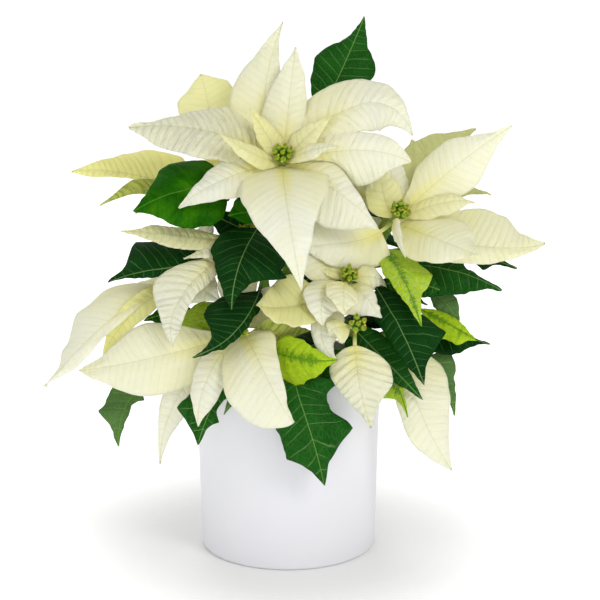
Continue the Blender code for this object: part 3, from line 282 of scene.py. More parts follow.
leaf("left", 234, (-139, -54, 231), (5, 7, 8, 7, 5, 2), (6, 12, 22, 31, 28, 8), stalk=0.2, belly=(0, -8, 10),
     face=(-0.1, -0.7, 0.7), lobes=((0.7, 0.35, 1),))
leaf("left", 234, (-72, -98, 183), (5, 9, 9, 9, 6, 3), (6, 16, 25, 29, 20, 9), stalk=0.2, belly=(12, -34, 0),
     face=(-0.2, -0.9, 0.35), rank=0, fine=dict(left=(4, 6, 5, 5, 4, 2), right=(12, 27, 33, 30, 17, 8)))
leaf("left", 205, (-76, -90, 171), (3, 7, 9, 9, 6, 3), (5, 16, 26, 28, 22, 10), stalk=0.25,
     belly=(-6, -6, 10), face=(-0.2, -0.95, 0.2), hue=0.8)
leaf("far_left", 168, (-136, -32, 91), (5, 5, 4, 5, 3.5, 2), (12, 17, 18, 15, 8, 4), stalk=0.55,
     belly=(-22, -6, 18), face=(-0.3, -0.95, 0.1), lobes=((0.6, 0.75, 1, 0.13), (0.2, 0.5, -1, 0.1)), hue=0.3)
leaf("far_left", 190, (-115, -20, 192), 22, stalk=0.3, belly=(0, -2, 6), face=TO_FRONT, hue=0.2)
leaf("low_right", 168, (160, -30, 175), (3, 6, 8, 7, 4, 2), (4, 10, 17, 17, 9, 3), stalk=0.4,
     belly=(0, -4, 10), face=(0, -0.6, 0.8))
leaf("low_right", 174, (132, -42, 120), (8, 16, 15, 8, 4, 2), (2, 3, 4, 4, 3, 2), stalk=0.5,
     belly=(12, -4, 18), face=(0.3, -0.9, 0.1), hue=0.3)
leaf("low_right", 158, (93, -76, 129), (3, 5, 7, 6, 4, 2), (3, 10, 17, 20, 14, 3), stalk=0.3,
     belly=(4, -10, 22), face=(0, -1, 0.1), lobes=((0.62, 0.5, 1),), hue=0.84)

FULL_RINGS = {"back_left": 5, "back": 6, "back_right": 6, "far_left": 3, "left": 0}
TRIED_BEHIND = 6
LEAVES_UP_A_STEM = 5
LOWEST_LEAF = 152
GOLDEN_ANGLE = radians(137.5)
FAR_SIDE = 0.35
RING_BRACT_LENGTH, RING_BRACT_WIDTH = 74, 0.55
STEM_LEAF_LENGTH, STEM_LEAF_WIDTH = 96, 0.46
USUAL_LENGTH = 90
CUPS_MIDDLE, CUPS_REACH = 8, 9.5

# What a blade tries until it lies clear, in mm and degrees: seen ones are nudged and moved along the line of
# sight, and unseen ones are lifted and swung.
NUDGES = ((0, 0, 0), (0, 0, 6), (0, 0, -6), (6, 0, 0), (-6, 0, 0), (0, 0, 12), (0, 0, -12))
SIGHT_STEP, SIGHT_STEPS = 5, 17
LIFTS = (0, 12, -12, 24, -24)
SWINGS = (*LIFTS, 36, -36)


def changed(b, **values):
    """A copy of a blade with some of its values changed."""
    return SimpleNamespace(**{**vars(b), **values})


def on_circle(radius, angle, z=0.0):
    """A point round the Z axis."""
    return radius * cos(angle), radius * sin(angle), z


def stem_line(name, count=6):
    """Points on the smooth line of a stem, from its foot in the potting mix to the underside of its head."""
    spot = HEADS[name]
    first = spot.route[0]
    knots = [Vector((*first, STEM_FOOT)), Vector((*first, STEM_STRAIGHT))]
    knots += [Vector(p) for p in spot.route[1:]]
    knots += [spot.foot - spot.axis * STEM_NECK, spot.foot - spot.axis * GAP]
    line = [knots[0]]
    spans = len(knots) - 3
    for i in range(count + 1):
        place = min(i / count * spans, spans - 1e-6)
        k = int(place)
        f = place - k
        a, b, c, d = knots[k : k + 4]
        bend = (a * 2 - b * 5 + c * 4 - d) * f**2 + (b * 3 - a - c * 3 + d) * f**3
        line.append((b * 2 + (c - a) * f + bend) / 2)
    return line + [knots[-1]]


def stem_point(name, height):
    """The point of a stem's line at a height above the pot's foot."""
    return min(stem_line(name, 60), key=lambda p: abs(p.z - height))


def outline(b, share, side):
    """Half the blade's width at shares of its length, on one side of its midrib, in mm."""
    widths = (STALK_HALF_WIDTH, *(b.right if side > 0 else b.left), TIP_HALF_WIDTH)
    x, y = np.array(EDGE_STATIONS, float), np.array(widths, float)
    slope = np.diff(y) / np.diff(x)
    level = slope[:-1] * slope[1:] <= 0
    inner = np.where(level, 0, 2 * slope[:-1] * slope[1:] / np.where(level, 1, slope[:-1] + slope[1:]))
    tangent = np.concatenate([slope[:1], inner, slope[-1:]])
    share = np.clip(np.asarray(share, float), 0, 1)
    i = np.clip(np.searchsorted(x, share, side="right") - 1, 0, len(slope) - 1)
    step = x[i + 1] - x[i]
    f = (share - x[i]) / step
    half = y[i] * (1 + 2 * f) * (1 - f) ** 2 + y[i + 1] * f**2 * (3 - 2 * f)
    half = half + step * f * (1 - f) * (tangent[i] * (1 - f) - tangent[i + 1] * f)
    for place, height, on, *reach in b.lobes:
        near = np.clip(1 - np.abs(share - place) / (reach or (LOBE_REACH,))[0], 0, 1)
        half = half + (height * b.width / 2 * near**1.4 if on == side else 0)
    return half


def edge_share(b, u, side, length):
    """Where a row of points meets the blade's edge: rows sweep towards the tip as its side veins do."""
    blade_length = length * (1 - b.stalk)
    lean = 0.6 * outline(b, u, side) / blade_length * np.sqrt(np.clip(1 - u, 0, 1)) * np.clip(u * 5, 0, 1)
    return np.minimum(u + lean, 1)


def edges_and_half(b, u, t, length):
    """Where rows of points meet both edges, the one on each point's own side, and half the width there."""
    edges = [edge_share(b, u, side, length) for side in (-1, 1)]
    edge = np.where(t < 0, *edges)
    return edges, edge, np.where(t < 0, outline(b, edge, -1), outline(b, edge, 1))


def unit(v):
    """Vectors brought to length 1."""
    return v / np.maximum(np.linalg.norm(v, axis=-1, keepdims=True), 1e-9)


def surface(b, root, u, t):
    """Points and upper-side normals of a blade at lengthwise shares u (below 0 on the stalk) and across t."""
    u, t = np.broadcast_arrays(np.asarray(u, float), np.asarray(t, float))
    side = np.where(t < 0, -1, 1)
    start, end = np.array(root), np.array(b.tip)
    chord = end - start
    length = np.linalg.norm(chord)
    _, edge, half = edges_and_half(b, u, t, length)
    half = np.where(u <= 0, STALK_HALF_WIDTH, half)
    swept = u + np.abs(t) * (edge - u)
    v = np.where(u < 0, b.stalk * (1 + u), b.stalk + (1 - b.stalk) * swept)[..., None]
    normal = unit(np.cross(np.cross(chord, b.face), chord))
    bow = np.array(b.belly) if b.belly else normal * length * b.arch
    p1 = start + chord * 0.3 + bow * 4 / 3
    p2 = start + chord * 0.72 + bow * 4 / 3 + b.hook
    w = 1 - v
    mid = w**3 * start + 3 * w**2 * v * p1 + 3 * w * v**2 * p2 + v**3 * end
    along = unit(3 * w**2 * (p1 - start) + 6 * w * v * (p2 - p1) + 3 * v**2 * (end - p2))
    across = unit(np.cross(along, normal))
    up = np.cross(across, along)
    turn = np.radians(b.roll + b.twist * v)
    across, up = across * np.cos(turn) + up * np.sin(turn), up * np.cos(turn) - across * np.sin(turn)
    open_out = np.clip(u * 6, 0, 1)
    bend = np.radians(b.fold + b.curl * np.abs(t)) * open_out
    sideways = (half * np.abs(t) * np.cos(bend) * side)[..., None]
    lift = (half * np.abs(t) * np.sin(bend))[..., None]
    points = mid + across * sideways + up * lift
    slope = bend[..., None] * side[..., None]
    return points, unit(up * np.cos(slope) - across * np.sin(slope))


def stations(b):
    """The lengthwise shares at which the coarse blade has a row of points: more on long and lobed ones."""
    if b.rank >= 2:
        rows = {-1, 0, 0.35, 1}
    else:
        rows = {-1, 0, 0.1, 0.3, 0.58, 1} if b.width > 24 else {-1, 0, 0.25, 0.6, 1}
    grid = np.linspace(0, 1, 101)
    for place, _, side, *_ in b.lobes:
        at = round(float(np.interp(place, edge_share(b, grid, side, USUAL_LENGTH), grid)), 2)
        rows -= {r for r in rows if 0 < r < 1 and abs(r - at) < 0.1}
        rows.add(at)
    return sorted(rows)


def shell(b, root, half_thickness, first=0):
    """Points and quads of a closed thick blade, for the test that it lies clear."""
    rows = stations(b)[first:]
    points, normals = surface(b, root, np.array(rows)[:, None], np.array([-1.0, 0.0, 1.0]))
    above = (points + normals * half_thickness).reshape(-1, 3)
    below = (points - normals * half_thickness).reshape(-1, 3)
    n = len(above)
    quads = []
    for a in range(0, n - 3, 3):
        for k in (a, a + 1):
            quads += [(k, k + 1, k + 4, k + 3), (n + k, n + k + 3, n + k + 4, n + k + 1)]
        quads += [(k, k + 3, n + k + 3, n + k) for k in (a, a + 2)]
    quads += [(a, a + 1, n + a + 1, n + a) for a in (0, 1, n - 3, n - 2)]
    return np.vstack([above, below]), quads


def band_faces(rows, sides, first=0):
    """The quads between rings of points that follow each other."""
    return [
        (a + k, a + (k + 1) % sides, a + sides + (k + 1) % sides, a + sides + k)
        for a in range(first, first + (rows - 1) * sides, sides)
        for k in range(sides)
    ]


def rings(profile):
    """A round shell about the pot's axis from its profile of (radius, height) points."""
    turn = np.radians(np.arange(0, 360, 15))
    points = [on_circle(r, a, z) for r, z in profile for a in turn]
    return np.array(points), band_faces(len(profile), len(turn))


def ball(radius, subdivisions):
    """Points and faces of a ball about the origin."""
    mesh = bmesh.new()
    bmesh.ops.create_icosphere(mesh, subdivisions=subdivisions, radius=radius)
    points = [v.co.copy() for v in mesh.verts]
    faces = [[v.index for v in f.verts] for f in mesh.faces]
    mesh.free()
    return points, faces


def tree_of(points, faces):
    """What tests a mesh for touching another."""
    return BVHTree.FromPolygons([Vector(p) for p in points], faces)


class Room:
    """What is already in place, as thick shells, so that each new blade can be bent clear of it."""

    def __init__(self):
        self.taken = []

    def add(self, owner, points, faces, outer=None):
        """outer is the part that must also stay clear of other blades of the same owner."""
        outer = outer and tree_of(*outer)
        self.taken.append((owner, points.min(0), points.max(0), tree_of(points, faces), outer))

    def add_ball(self, owner, centre, radius):
        points, faces = ball(radius, 2)
        self.add(owner, np.array([p + centre for p in points]), faces)

    def add_line(self, owner, line, radius):
        ring = [on_circle(radius, k * pi / 3) for k in range(6)]
        points = [(p.x + x, p.y + y, p.z) for p in line for x, y, _ in ring]
        self.add(owner, np.array(points), band_faces(len(line), 6))

    def meets(self, owner, b, root):
        """True if the blade touches anything of another node, or the outer part of its own node's blades."""
        points, quads = shell(b, root, BLADE_THICKNESS / 2)
        low, high = points.min(0), points.max(0)
        whole = outer = None
        for other, lo, hi, tree, tree_outer in self.taken:
            if (lo > high).any() or (hi < low).any():
                continue
            if other == owner:
                if tree_outer:
                    outer = outer or tree_of(*shell(b, root, BLADE_THICKNESS / 2, first=3))
                    if outer.overlap(tree_outer):
                        return True
                continue
            whole = whole or tree_of(points, quads)
            if whole.overlap(tree):
                return True
        return False


def seen_moves(b, root):
    """The blade as drawn, then with its tip nearer to or further from the viewpoint, then a little aside."""
    sight = (b.tip - EYE).normalized()
    for nudge in NUDGES:
        for step in range(SIGHT_STEPS):
            nearer = (step + 1) // 2 * SIGHT_STEP * (1 if step % 2 else -1)
            yield changed(b, tip=b.tip + Vector(nudge) + sight * nearer)


def unseen_moves(b, root):
    """The blade as drawn, then swung round the head or stem, then raised or lowered."""
    reach = b.tip - root
    for lift in LIFTS:
        for swing in SWINGS:
            turn = Matrix.Rotation(radians(swing), 3, "Z")
            yield changed(b, tip=root + turn @ reach + Vector((0, 0, lift)))


def settle(room, node, b, root, moves):
    """The first variant of the blade that lies clear, or None."""
    for moved in moves(b, root):
        if not room.meets(node, moved, root):
            room.add(node, *shell(moved, root, CLEARANCE), shell(moved, root, CLEARANCE * 0.6, first=3))
            return moved
    return None


def bract_root(spot, tip):
    """Long bracts grow low on the hub, and short ones and those that hang down near its top."""
    reach = tip - spot.centre
    hang = min(0, reach.normalized().dot(spot.axis))
    return spot.centre - spot.axis * min(12.0, 2.5 + reach.length * 0.085) * (1 + hang)


def drawn_blades():
    """The blades that are seen in the photo, with their nodes and roots."""
    for name, spot in HEADS.items():
        for b in BRACTS[name]:
            b.face = b.face or tuple(spot.axis)
            yield "bracts_" + name, b, bract_root(spot, b.tip)
        for height, b in LEAVES[name]:
            yield "stem_" + name, b, stem_point(name, height)


def ring_blades():
    """The bracts of the unseen heads, and on the far side of the seen ones, spread by the golden angle."""
    for order, (name, spot) in enumerate(HEADS.items()):
        seen = name not in FULL_RINGS
        first = spot.axis.orthogonal().normalized()
        second = spot.axis.cross(first)
        for k in range(TRIED_BEHIND if seen else FULL_RINGS[name]):
            angle = order + k * GOLDEN_ANGLE
            out = first * cos(angle) + second * sin(angle)
            if seen and out.y < FAR_SIDE:
                continue
            length = RING_BRACT_LENGTH - 3.5 * (k % 4)
            tip = spot.centre + out * length + spot.axis * (14 - 5 * (k % 3)) - Vector((0, 0, 8))
            b = blade(tip, length * RING_BRACT_WIDTH, face=tuple(spot.axis), stalk=0.1, rank=2)
            yield "bracts_" + name, b, bract_root(spot, tip)


def stem_blades():
    """Green leaves up the stems, on the sides that the photo leaves unseen, spread by the golden angle."""
    for order, (name, spot) in enumerate(HEADS.items()):
        top = spot.foot.z - 18
        for k in range(LEAVES_UP_A_STEM):
            height = LOWEST_LEAF + (top - LOWEST_LEAF) * (k + 0.5) / LEAVES_UP_A_STEM
            root = stem_point(name, height)
            out = Vector(on_circle(1, order * 1.1 + k * GOLDEN_ANGLE))
            if out.y < -0.1 and abs(out.x) < 0.9:
                continue
            length = STEM_LEAF_LENGTH - 5 * (k % 3)
            tip = root + out * length * 0.92 + Vector((0, 0, 12 - 26 * (k % 2)))
            face = tuple(Vector((0, 0, 1)) + out * 0.4)
            lobes = (OAK, (), SPADE, SHOULDER)[k % 4]
            width = length * STEM_LEAF_WIDTH
            b = blade(tip, width, arch=0.14, face=face, stalk=0.3, lobes=lobes, rank=2)
            yield "stem_" + name, b, root


def arrange():
    """Every blade in its place, as {node: [(blade, root)]}."""
    room = Room()
    rim = POT_TOP_RADIUS + CLEARANCE
    lip = POT_HEIGHT + 2
    wall = [(rim - POT_WALL - 2 * CLEARANCE, 140), (rim - POT_WALL - 4, lip), (rim, lip), (rim - 4, 0)]
    room.add("pot", *rings(wall))
    room.add("potting_mix", *rings([(0.1, SOIL_TOP + 5), (LINER_TOP_RADIUS, SOIL_TOP + 5)]))
    for name, spot in HEADS.items():
        room.add_line("stem_" + name, stem_line(name), STEM_BASE_RADIUS + 1)
        room.add_line("bracts_" + name, [spot.foot, spot.centre], HUB_RADIUS + 1)
        room.add_ball("cups_" + name, spot.centre + spot.axis * CUPS_MIDDLE, CUPS_REACH)
    placed = {}
    groups = ((drawn_blades, seen_moves), (ring_blades, unseen_moves), (stem_blades, unseen_moves))
    for group, moves in groups:
        for node, b, root in sorted(group(), key=lambda item: item[1].rank):
            found = settle(room, node, b, root, moves)
            if found:
                placed.setdefault(node, []).append((found, root))
    return placed


# Meshes


def add_object(name, data):
    """A new object of the scene."""
    made = bpy.data.objects.new(name, data)
    bpy.context.scene.collection.objects.link(made)
    return made


def add_mesh(name, points, faces, **vectors):
    """A smooth mesh object from points in mm; each further argument is a vector attribute of its points."""
    mesh = bpy.data.meshes.new(name)
    mesh.from_pydata((np.asarray(points) * MM).tolist(), [], faces)
    for key, values in vectors.items():
        layer = mesh.attributes.new(key, "FLOAT_VECTOR", "POINT")
        layer.data.foreach_set("vector", np.asarray(values, np.float32).ravel())
    mesh.polygons.foreach_set("use_smooth", [True] * len(mesh.polygons))
    mesh.update()
    return add_object(name, mesh)


def joined(name, shapes):
    """One object from several (points, faces, attributes) shapes."""
    points, faces, vectors, first = [], [], {}, 0
    for shape_points, shape_faces, shape_vectors in shapes:
        points.append(shape_points)
        faces += [tuple(i + first for i in face) for face in shape_faces]
        for key, values in shape_vectors.items():
            vectors.setdefault(key, []).append(values)
        first += len(shape_points)
    return add_mesh(name, np.vstack(points), faces, **{k: np.vstack(v) for k, v in vectors.items()})


def slab_faces(rows, columns):
    """The faces of two grids of points, the upper side's first, and of the rim between them."""
    n = rows * columns
    corners = [i * columns + j for i in range(rows - 1) for j in range(columns - 1)]
    faces = [(a, a + 1, a + columns + 1, a + columns) for a in corners]
    faces += [(n + a + columns, n + a + columns + 1, n + a + 1, n + a) for a in corners]
    for a in range(0, n - columns, columns):
        z = a + columns - 1
        faces += [(a + columns, n + a + columns, n + a, a), (z, n + z, n + z + columns, z + columns)]
    faces += [(a, n + a, n + a + 1, a + 1) for a in range(columns - 1)]
    return faces + [(a + 1, n + a + 1, n + a, a) for a in range(n - columns, n - 1)]


# How a bract and a leaf differ: the mm from vein to vein, how strong the edge's soft waves and teeth are, how
# high the fields between the veins rise, and how far the margin swings.
BRACT_FORM = SimpleNamespace(vein_step=5.6, soft=0.5, teeth=0.12, pillow=0.45, ruffle=0.036)
LEAF_FORM = SimpleNamespace(vein_step=7.0, soft=0.6, teeth=0.42, pillow=0.6, ruffle=0.03)
LONGEST_RUFFLE = 1.7
FULL_WIDTH = 40
HALF_THICKNESS, THINNER_AT_EDGE = 0.22, 0.1
RIB_DEPTH = 0.9
SWELL, GATHERS, MIDRIB_SUNK, EDGE_PUCKER = 0.8, 0.22, 0.4, 0.12


def wave(x, rng, count, lowest):
    """A smooth random curve of about unit height."""
    total = np.zeros_like(x)
    for k in range(count):
        total += np.sin(x * (lowest + k * 1.3) * 2 * pi + rng.uniform(0, 6.28)) / (k + 1.5)
    return total


def fine_blade(b, root, rng, rows, columns, form):
    """A blade with sunk veins, puckers between them, waved edges, a ribbed underside and a round stalk."""
    b = changed(b, **b.fine)
    u = np.concatenate([np.linspace(-1, 0, 5)[:-1], np.linspace(0, 1, rows)])[:, None]
    line = np.linspace(-1, 1, columns)
    u, t = np.broadcast_arrays(u, (np.sign(line) * np.abs(line) ** 1.1)[None, :])
    chord = (b.tip - Vector(root)).length
    length = chord * (1 - b.stalk)
    blade_u = np.clip(u, 0, 1)
    edges, _, half = edges_and_half(b, blade_u, t, chord)
    notch = np.where(t < 0, *(edge_wave(edge, length, form, rng) for edge in edges))
    points, normals = surface(b, root, u, t * (1 + notch * np.abs(t) ** 5 / np.maximum(half, 4)))
    away = np.abs(half * t)
    veins = max(5, round(length / form.vein_step))
    spread = rng.uniform(-1, 1) + rng.uniform(-1, 1) * np.sign(t)
    phase = veins * blade_u**0.92 + 0.14 * wave(blade_u, rng, 4, 1.5) + 0.008 * away * spread
    points = points + normals * relief(b, rng, blade_u, t, away, phase, form)[..., None]
    thin = HALF_THICKNESS - THINNER_AT_EDGE * np.abs(t)
    rib = RIB_DEPTH * np.exp(-(away**2)) * (1 - blade_u) ** 1.4
    round_half = STALK_HALF_WIDTH * 0.8 * np.sqrt(np.clip(1 - t**2, 0, 1)) + 0.1
    blend = np.clip(1 + u * 4, 0, 1)
    above = thin * blend + round_half * (1 - blend)
    under = (thin + rib) * blend + round_half * (1 - blend)
    top = (points + normals * above[..., None]).reshape(-1, 3)
    bottom = (points - normals * under[..., None]).reshape(-1, 3)
    fields = {
        "vein": np.stack([phase, half * t, np.full_like(phase, length / veins)], -1),
        "place": np.stack([t, u, blade_u * length], -1),
        "tone": np.broadcast_to([b.hue, rng.uniform(0, 1), rng.uniform(0, 50)], (*u.shape, 3)),
        "crease": np.broadcast_to([b.pucker, 0, 0], (*u.shape, 3)),
    }
    vectors = {key: np.vstack([values.reshape(-1, 3)] * 2) for key, values in fields.items()}
    return np.vstack([top, bottom]), slab_faces(*u.shape), vectors


def edge_wave(edge, length, form, rng):
    """How far the edge stands out or in, in mm: soft waves on a bract, waves and small teeth on a leaf."""
    soft = wave(edge, rng, 4, 1.5) * form.soft
    teeth = wave(edge * length / 26, rng, 3, 1.8) * form.teeth
    ends = np.clip(edge * 6, 0, 1) * np.clip((1 - edge) * 6, 0, 1)
    return (soft + teeth) * ends


def relief(b, rng, blade_u, t, away, phase, form):
    """The height of the upper side over the smooth blade, in mm."""
    size = min(1, b.width / FULL_WIDTH)
    open_out = np.clip(blade_u * 8, 0, 1)
    inside = np.clip(1.25 - np.abs(t) ** 3, 0, 1) * open_out
    uneven = 0.75 + 0.3 * wave(blade_u, rng, 3, 2.0)
    pillow = np.abs(np.sin(pi * phase)) * (1 - np.exp(-((away / 2.2) ** 2)))
    lift = form.pillow * b.pucker * size * uneven * pillow * inside
    gathers = np.sin(pi * phase + 5 * wave(blade_u, rng, 3, 1.0)) * np.exp(-((away / 7) ** 2))
    lift += GATHERS * size * max(0, b.pucker - 0.6) * gathers * (away > 0.5) * inside
    swell = wave(blade_u * 1.3, rng, 3, 1.0) * wave(t * 0.5, rng, 2, 0.8)
    lift += SWELL * size * swell * inside
    lift -= MIDRIB_SUNK * np.exp(-((away / 0.9) ** 2)) * open_out * (1 - blade_u)
    ruffle = min(LONGEST_RUFFLE, b.width * form.ruffle)
    for side in (-1, 1):
        swing = wave(blade_u[:, :1], rng, 4, 1.2) * np.clip(blade_u * 4, 0, 1)
        lift += np.where(np.sign(t) == side, ruffle * np.abs(t) ** 2.4 * swing, 0)
    return lift + EDGE_PUCKER * b.pucker * np.abs(t) ** 3 * np.sin(2 * pi * phase) * open_out


def tube(line, radii, sides, seed):
    """A round tube along points, with closed ends and a stalk's colours."""
    line = np.array([tuple(p) for p in line])
    along = unit(np.gradient(line, axis=0))
    across = unit(np.cross(along, [0.31, 0.95, 0.02]))
    other = np.cross(along, across)
    turn = np.linspace(0, 2 * pi, sides, endpoint=False)[:, None]
    spokes = across[:, None] * np.cos(turn) + other[:, None] * np.sin(turn)
    points = (line[:, None] + spokes * np.asarray(radii)[:, None, None]).reshape(-1, 3)
    n = len(points)
    faces = band_faces(len(line), sides) + [tuple(range(sides))[::-1], tuple(range(n - sides, n))]
    looks = {"vein": (0.0, 9, 9), "place": (0.0, -1, 0), "tone": (0.3, 0.5, seed), "crease": (0.5, 0, 0)}
    vectors = {key: np.tile(values, (n, 1)) for key, values in looks.items()}
    vectors["place"][:, 2] = 100 * np.repeat(np.linspace(0, 1, len(line)), sides)
    return points, faces, vectors


def lathe(name, profile, steps, wobble=None):
    """A turned body from its profile of (radius, height), which starts and ends on the axis."""
    (_, high), *rows, (_, low) = profile
    turn = np.linspace(0, 2 * pi, steps, endpoint=False)
    points = [(0, 0, high), *(on_circle(r, a, z) for r, z in rows for a in turn), (0, 0, low)]
    last = len(points) - 1 - steps
    pairs = [(k, (k + 1) % steps) for k in range(steps)]
    faces = [(0, 1 + k, 1 + m) for k, m in pairs]
    faces += [(p, s, r, q) for p, q, r, s in band_faces(len(rows), steps, 1)]
    faces += [(last + k, last + steps, last + m) for k, m in pairs]
    points = np.array(points)
    return add_mesh(name, wobble(points) if wobble else points, faces)


# Materials


class Value:
    """An output in a node tree, with the usual signs for sums, differences and products."""

    def __init__(self, nodes, socket):
        self.nodes, self.socket = nodes, socket

    def __add__(self, other):
        return self.nodes.calc("ADD", self, other)

    def __sub__(self, other):
        return self.nodes.calc("SUBTRACT", self, other)

    def __rsub__(self, other):
        return self.nodes.calc("SUBTRACT", other, self)

    def __mul__(self, other):
        return self.nodes.calc("MULTIPLY", self, other)

    __radd__ = __add__


class Nodes:
    """Short calls for building a material's node tree."""

    def __init__(self, name):
        self.material = bpy.data.materials.new(name)
        self.material.use_nodes = True
        self.tree = self.material.node_tree
        self.shader = self.tree.nodes["Principled BSDF"]

    def put(self, socket, value):
        if isinstance(value, Value):
            self.tree.links.new(value.socket, socket)
        else:
            socket.default_value = (*value, 1) if socket.type == "RGBA" else value

    def put_all(self, made, inputs):
        for key, value in inputs.items():
            self.put(made.inputs[key.replace("_", " ")], value)

    def set(self, **inputs):
        self.put_all(self.shader, inputs)

    def done(self, **inputs):
        """The material, once the last of its shader's sockets are set."""
        self.set(**inputs)
        return self.material

    def node(self, kind, *values, out=0, options=(), **inputs):
        """An output of a new node. Its sockets are set in their order, or by their names."""
        made = self.tree.nodes.new(kind)
        for key, value in dict(options).items():
            setattr(made, key, value)
        for socket, value in zip(made.inputs, values):
            self.put(socket, value)
        self.put_all(made, inputs)
        return Value(self, made.outputs[out])

    def calc(self, operation, a, b=0.0):
        return self.node("ShaderNodeMath", a, b, options={"operation": operation})

    def mix(self, share, a, b):
        """Colour a with a share of colour b over it."""
        made = self.tree.nodes.new("ShaderNodeMix")
        made.data_type = "RGBA"
        for index, value in ((0, share), (6, a), (7, b)):
            self.put(made.inputs[index], value)
        return Value(self, made.outputs[2])

    def paint(self, colour, layers):
        """A colour under layers of (share, colour), one over the other."""
        for share, over in layers:
            colour = self.mix(share, colour, over)
        return colour

    def ramp(self, value, low, high):
        """0 below low, 1 above high, and smooth between them."""
        return self.node("ShaderNodeMapRange", value, low, high, options={"interpolation_type": "SMOOTHSTEP"})

    def attribute(self, name):
        """The three numbers of a vector attribute."""
        vector = self.node("ShaderNodeAttribute", out=1, options={"attribute_name": name})
        split = self.tree.nodes.new("ShaderNodeSeparateXYZ")
        self.put(split.inputs[0], vector)
        return [Value(self, socket) for socket in split.outputs]

    def vector(self, x, y, z):
        return self.node("ShaderNodeCombineXYZ", x, y, z)

    def place(self):
        """Where a point is on the object, in metres."""
        return self.node("ShaderNodeTexCoord", out=3)

    def noise(self, vector, scale, detail=3.0, roughness=0.55):
        return self.node("ShaderNodeTexNoise", Vector=vector, Scale=scale, Detail=detail, Roughness=roughness)

    def bump(self, height, strength, distance):
        made = self.node("ShaderNodeBump", Height=height, Strength=strength, Distance=distance)
        self.set(Normal=made)
        return made

    def see_through(self, share, colour, normal):
        """Lets a share of the light through a thin blade."""
        thin = self.node("ShaderNodeBsdfTranslucent", Color=colour, Normal=normal)
        both = self.node("ShaderNodeMixShader", share, Value(self, self.shader.outputs[0]), thin)
        self.put(self.tree.nodes["Material Output"].inputs["Surface"], both)


def blade_fields(n):
    """Vein masks and places on a blade, for both kinds of blade."""
    phase, lateral, spacing = n.attribute("vein")
    side, share, along = n.attribute("place")
    hue, shade, seed = n.attribute("tone")
    pucker = n.attribute("crease")[0]
    away, edge = n.calc("ABSOLUTE", lateral), n.calc("ABSOLUTE", side)
    where = n.vector(along, lateral, seed)
    bent = phase + (n.noise(where, 0.11, 2.0) - 0.5) * 0.3
    between = n.calc("PINGPONG", bent, 0.5)
    vein = (1.0 - n.ramp(between * spacing, 0.04, 0.36)) * (1.0 - n.ramp(edge, 0.7, 1.0))
    to_edge = {"feature": "DISTANCE_TO_EDGE"}
    cells = n.node("ShaderNodeTexVoronoi", options=to_edge, Vector=where, Scale=0.42, Randomness=0.9)
    return SimpleNamespace(
        hue=hue, shade=shade, where=where, away=away, edge=edge, share=share, pucker=pucker,
        lateral_vein=vein * n.ramp(share, 0.0, 0.05),
        rib=1.0 - n.ramp(away, 0.15, 0.65),
        net=1.0 - n.ramp(cells, 0.0, 0.16),
        pillow=n.ramp(between, 0.0, 0.32),
        streaks=n.noise(n.vector(bent * 2.6, away * 0.07, seed), 1.0),
        wrinkles=n.noise(n.vector(along * 0.55, away * 0.22, seed), 1.0, 4.0),
    )


def bract_material():
    """Cream-white to yellow by the bract's hue, or dull and olive, which are partly a greenish own tone and
    partly painted shade; yellower at its base and veined and creased, with painted shade in the hollows between
    the veins and along the midrib and a painted highlight on the edge.
    """
    n = Nodes("bract")
    f = blade_fields(n)
    patch = n.noise(f.where, 0.05)
    warm = (1.0 - n.ramp(f.share, 0.05, 0.55)) * (0.4 + (1.0 - n.ramp(f.away, 1.0, 10.0)) * 0.6)
    yellow = n.ramp(f.hue, 0.0, 0.6)
    pale = n.mix(patch, (0.95, 0.94, 0.55), (0.94, 0.93, 0.42))
    # dull and olive are partly a greenish own tone and partly painted shade, for bracts that lie in shadow
    shaded_dull = n.mix(patch, (0.68, 0.72, 0.42), (0.62, 0.66, 0.32))
    shaded_olive = n.mix(n.ramp(f.streaks, 0.4, 0.65), (0.55, 0.60, 0.13), (0.22, 0.34, 0.03))
    cream = n.mix(n.ramp(patch, 0.3, 0.75), (0.93, 0.94, 0.86), (0.925, 0.93, 0.79))
    layers = (
        (n.ramp(f.shade, 0.3, 1.0) * 0.4, (0.90, 0.90, 0.66)),
        (n.ramp(f.streaks, 0.45, 0.8) * 0.25, (0.84, 0.86, 0.68)),
        (warm * 0.95, (0.94, 0.89, 0.34)),
        (yellow, pale),
        (n.ramp(f.hue, 0.65, 0.8), shaded_dull),
        (n.ramp(f.hue, 0.85, 1.0), shaded_olive),
        # painted shade: the hollows between the veins darker and yellower, more on puckered bracts
        ((1.0 - f.pillow) * f.pucker * 0.16, (0.80, 0.80, 0.52)),
        (f.net * 0.06, (0.76, 0.78, 0.46)),
        (f.lateral_vein * (0.2 + yellow * 0.3), (0.70, 0.70, 0.26)),
        # the midrib's own yellow-green, darkened as painted shade of the crease along it
        (f.rib * 0.45, (0.66, 0.69, 0.34)),
        # painted highlight: the thin edge lighter, as light shines through it
        (n.ramp(f.edge, 0.93, 1.0) * 0.4, (0.93, 0.93, 0.86)),
        (n.ramp(f.share, 0.975, 1.0) * 0.4, (0.5, 0.44, 0.18)),
        (1.0 - n.ramp(f.share, -0.5, 0.02), (0.42, 0.5, 0.12)),
    )
    colour = n.paint(cream, layers)
    ribs = f.pillow * f.pucker * 0.5
    creases = (f.streaks + f.wrinkles) * f.pucker * 1.5
    grain = n.noise(f.where, 0.9, 4.0) * 0.3 - f.net * 0.2
    normal = n.bump(ribs + creases + grain, 0.9, 0.0006)
    n.see_through(0.28 + yellow * 0.17, n.mix(0.55, colour, (0.95, 0.90, 0.45)), normal)
    return n.done(Base_Color=colour, Roughness=0.6, Specular_IOR_Level=0.2)


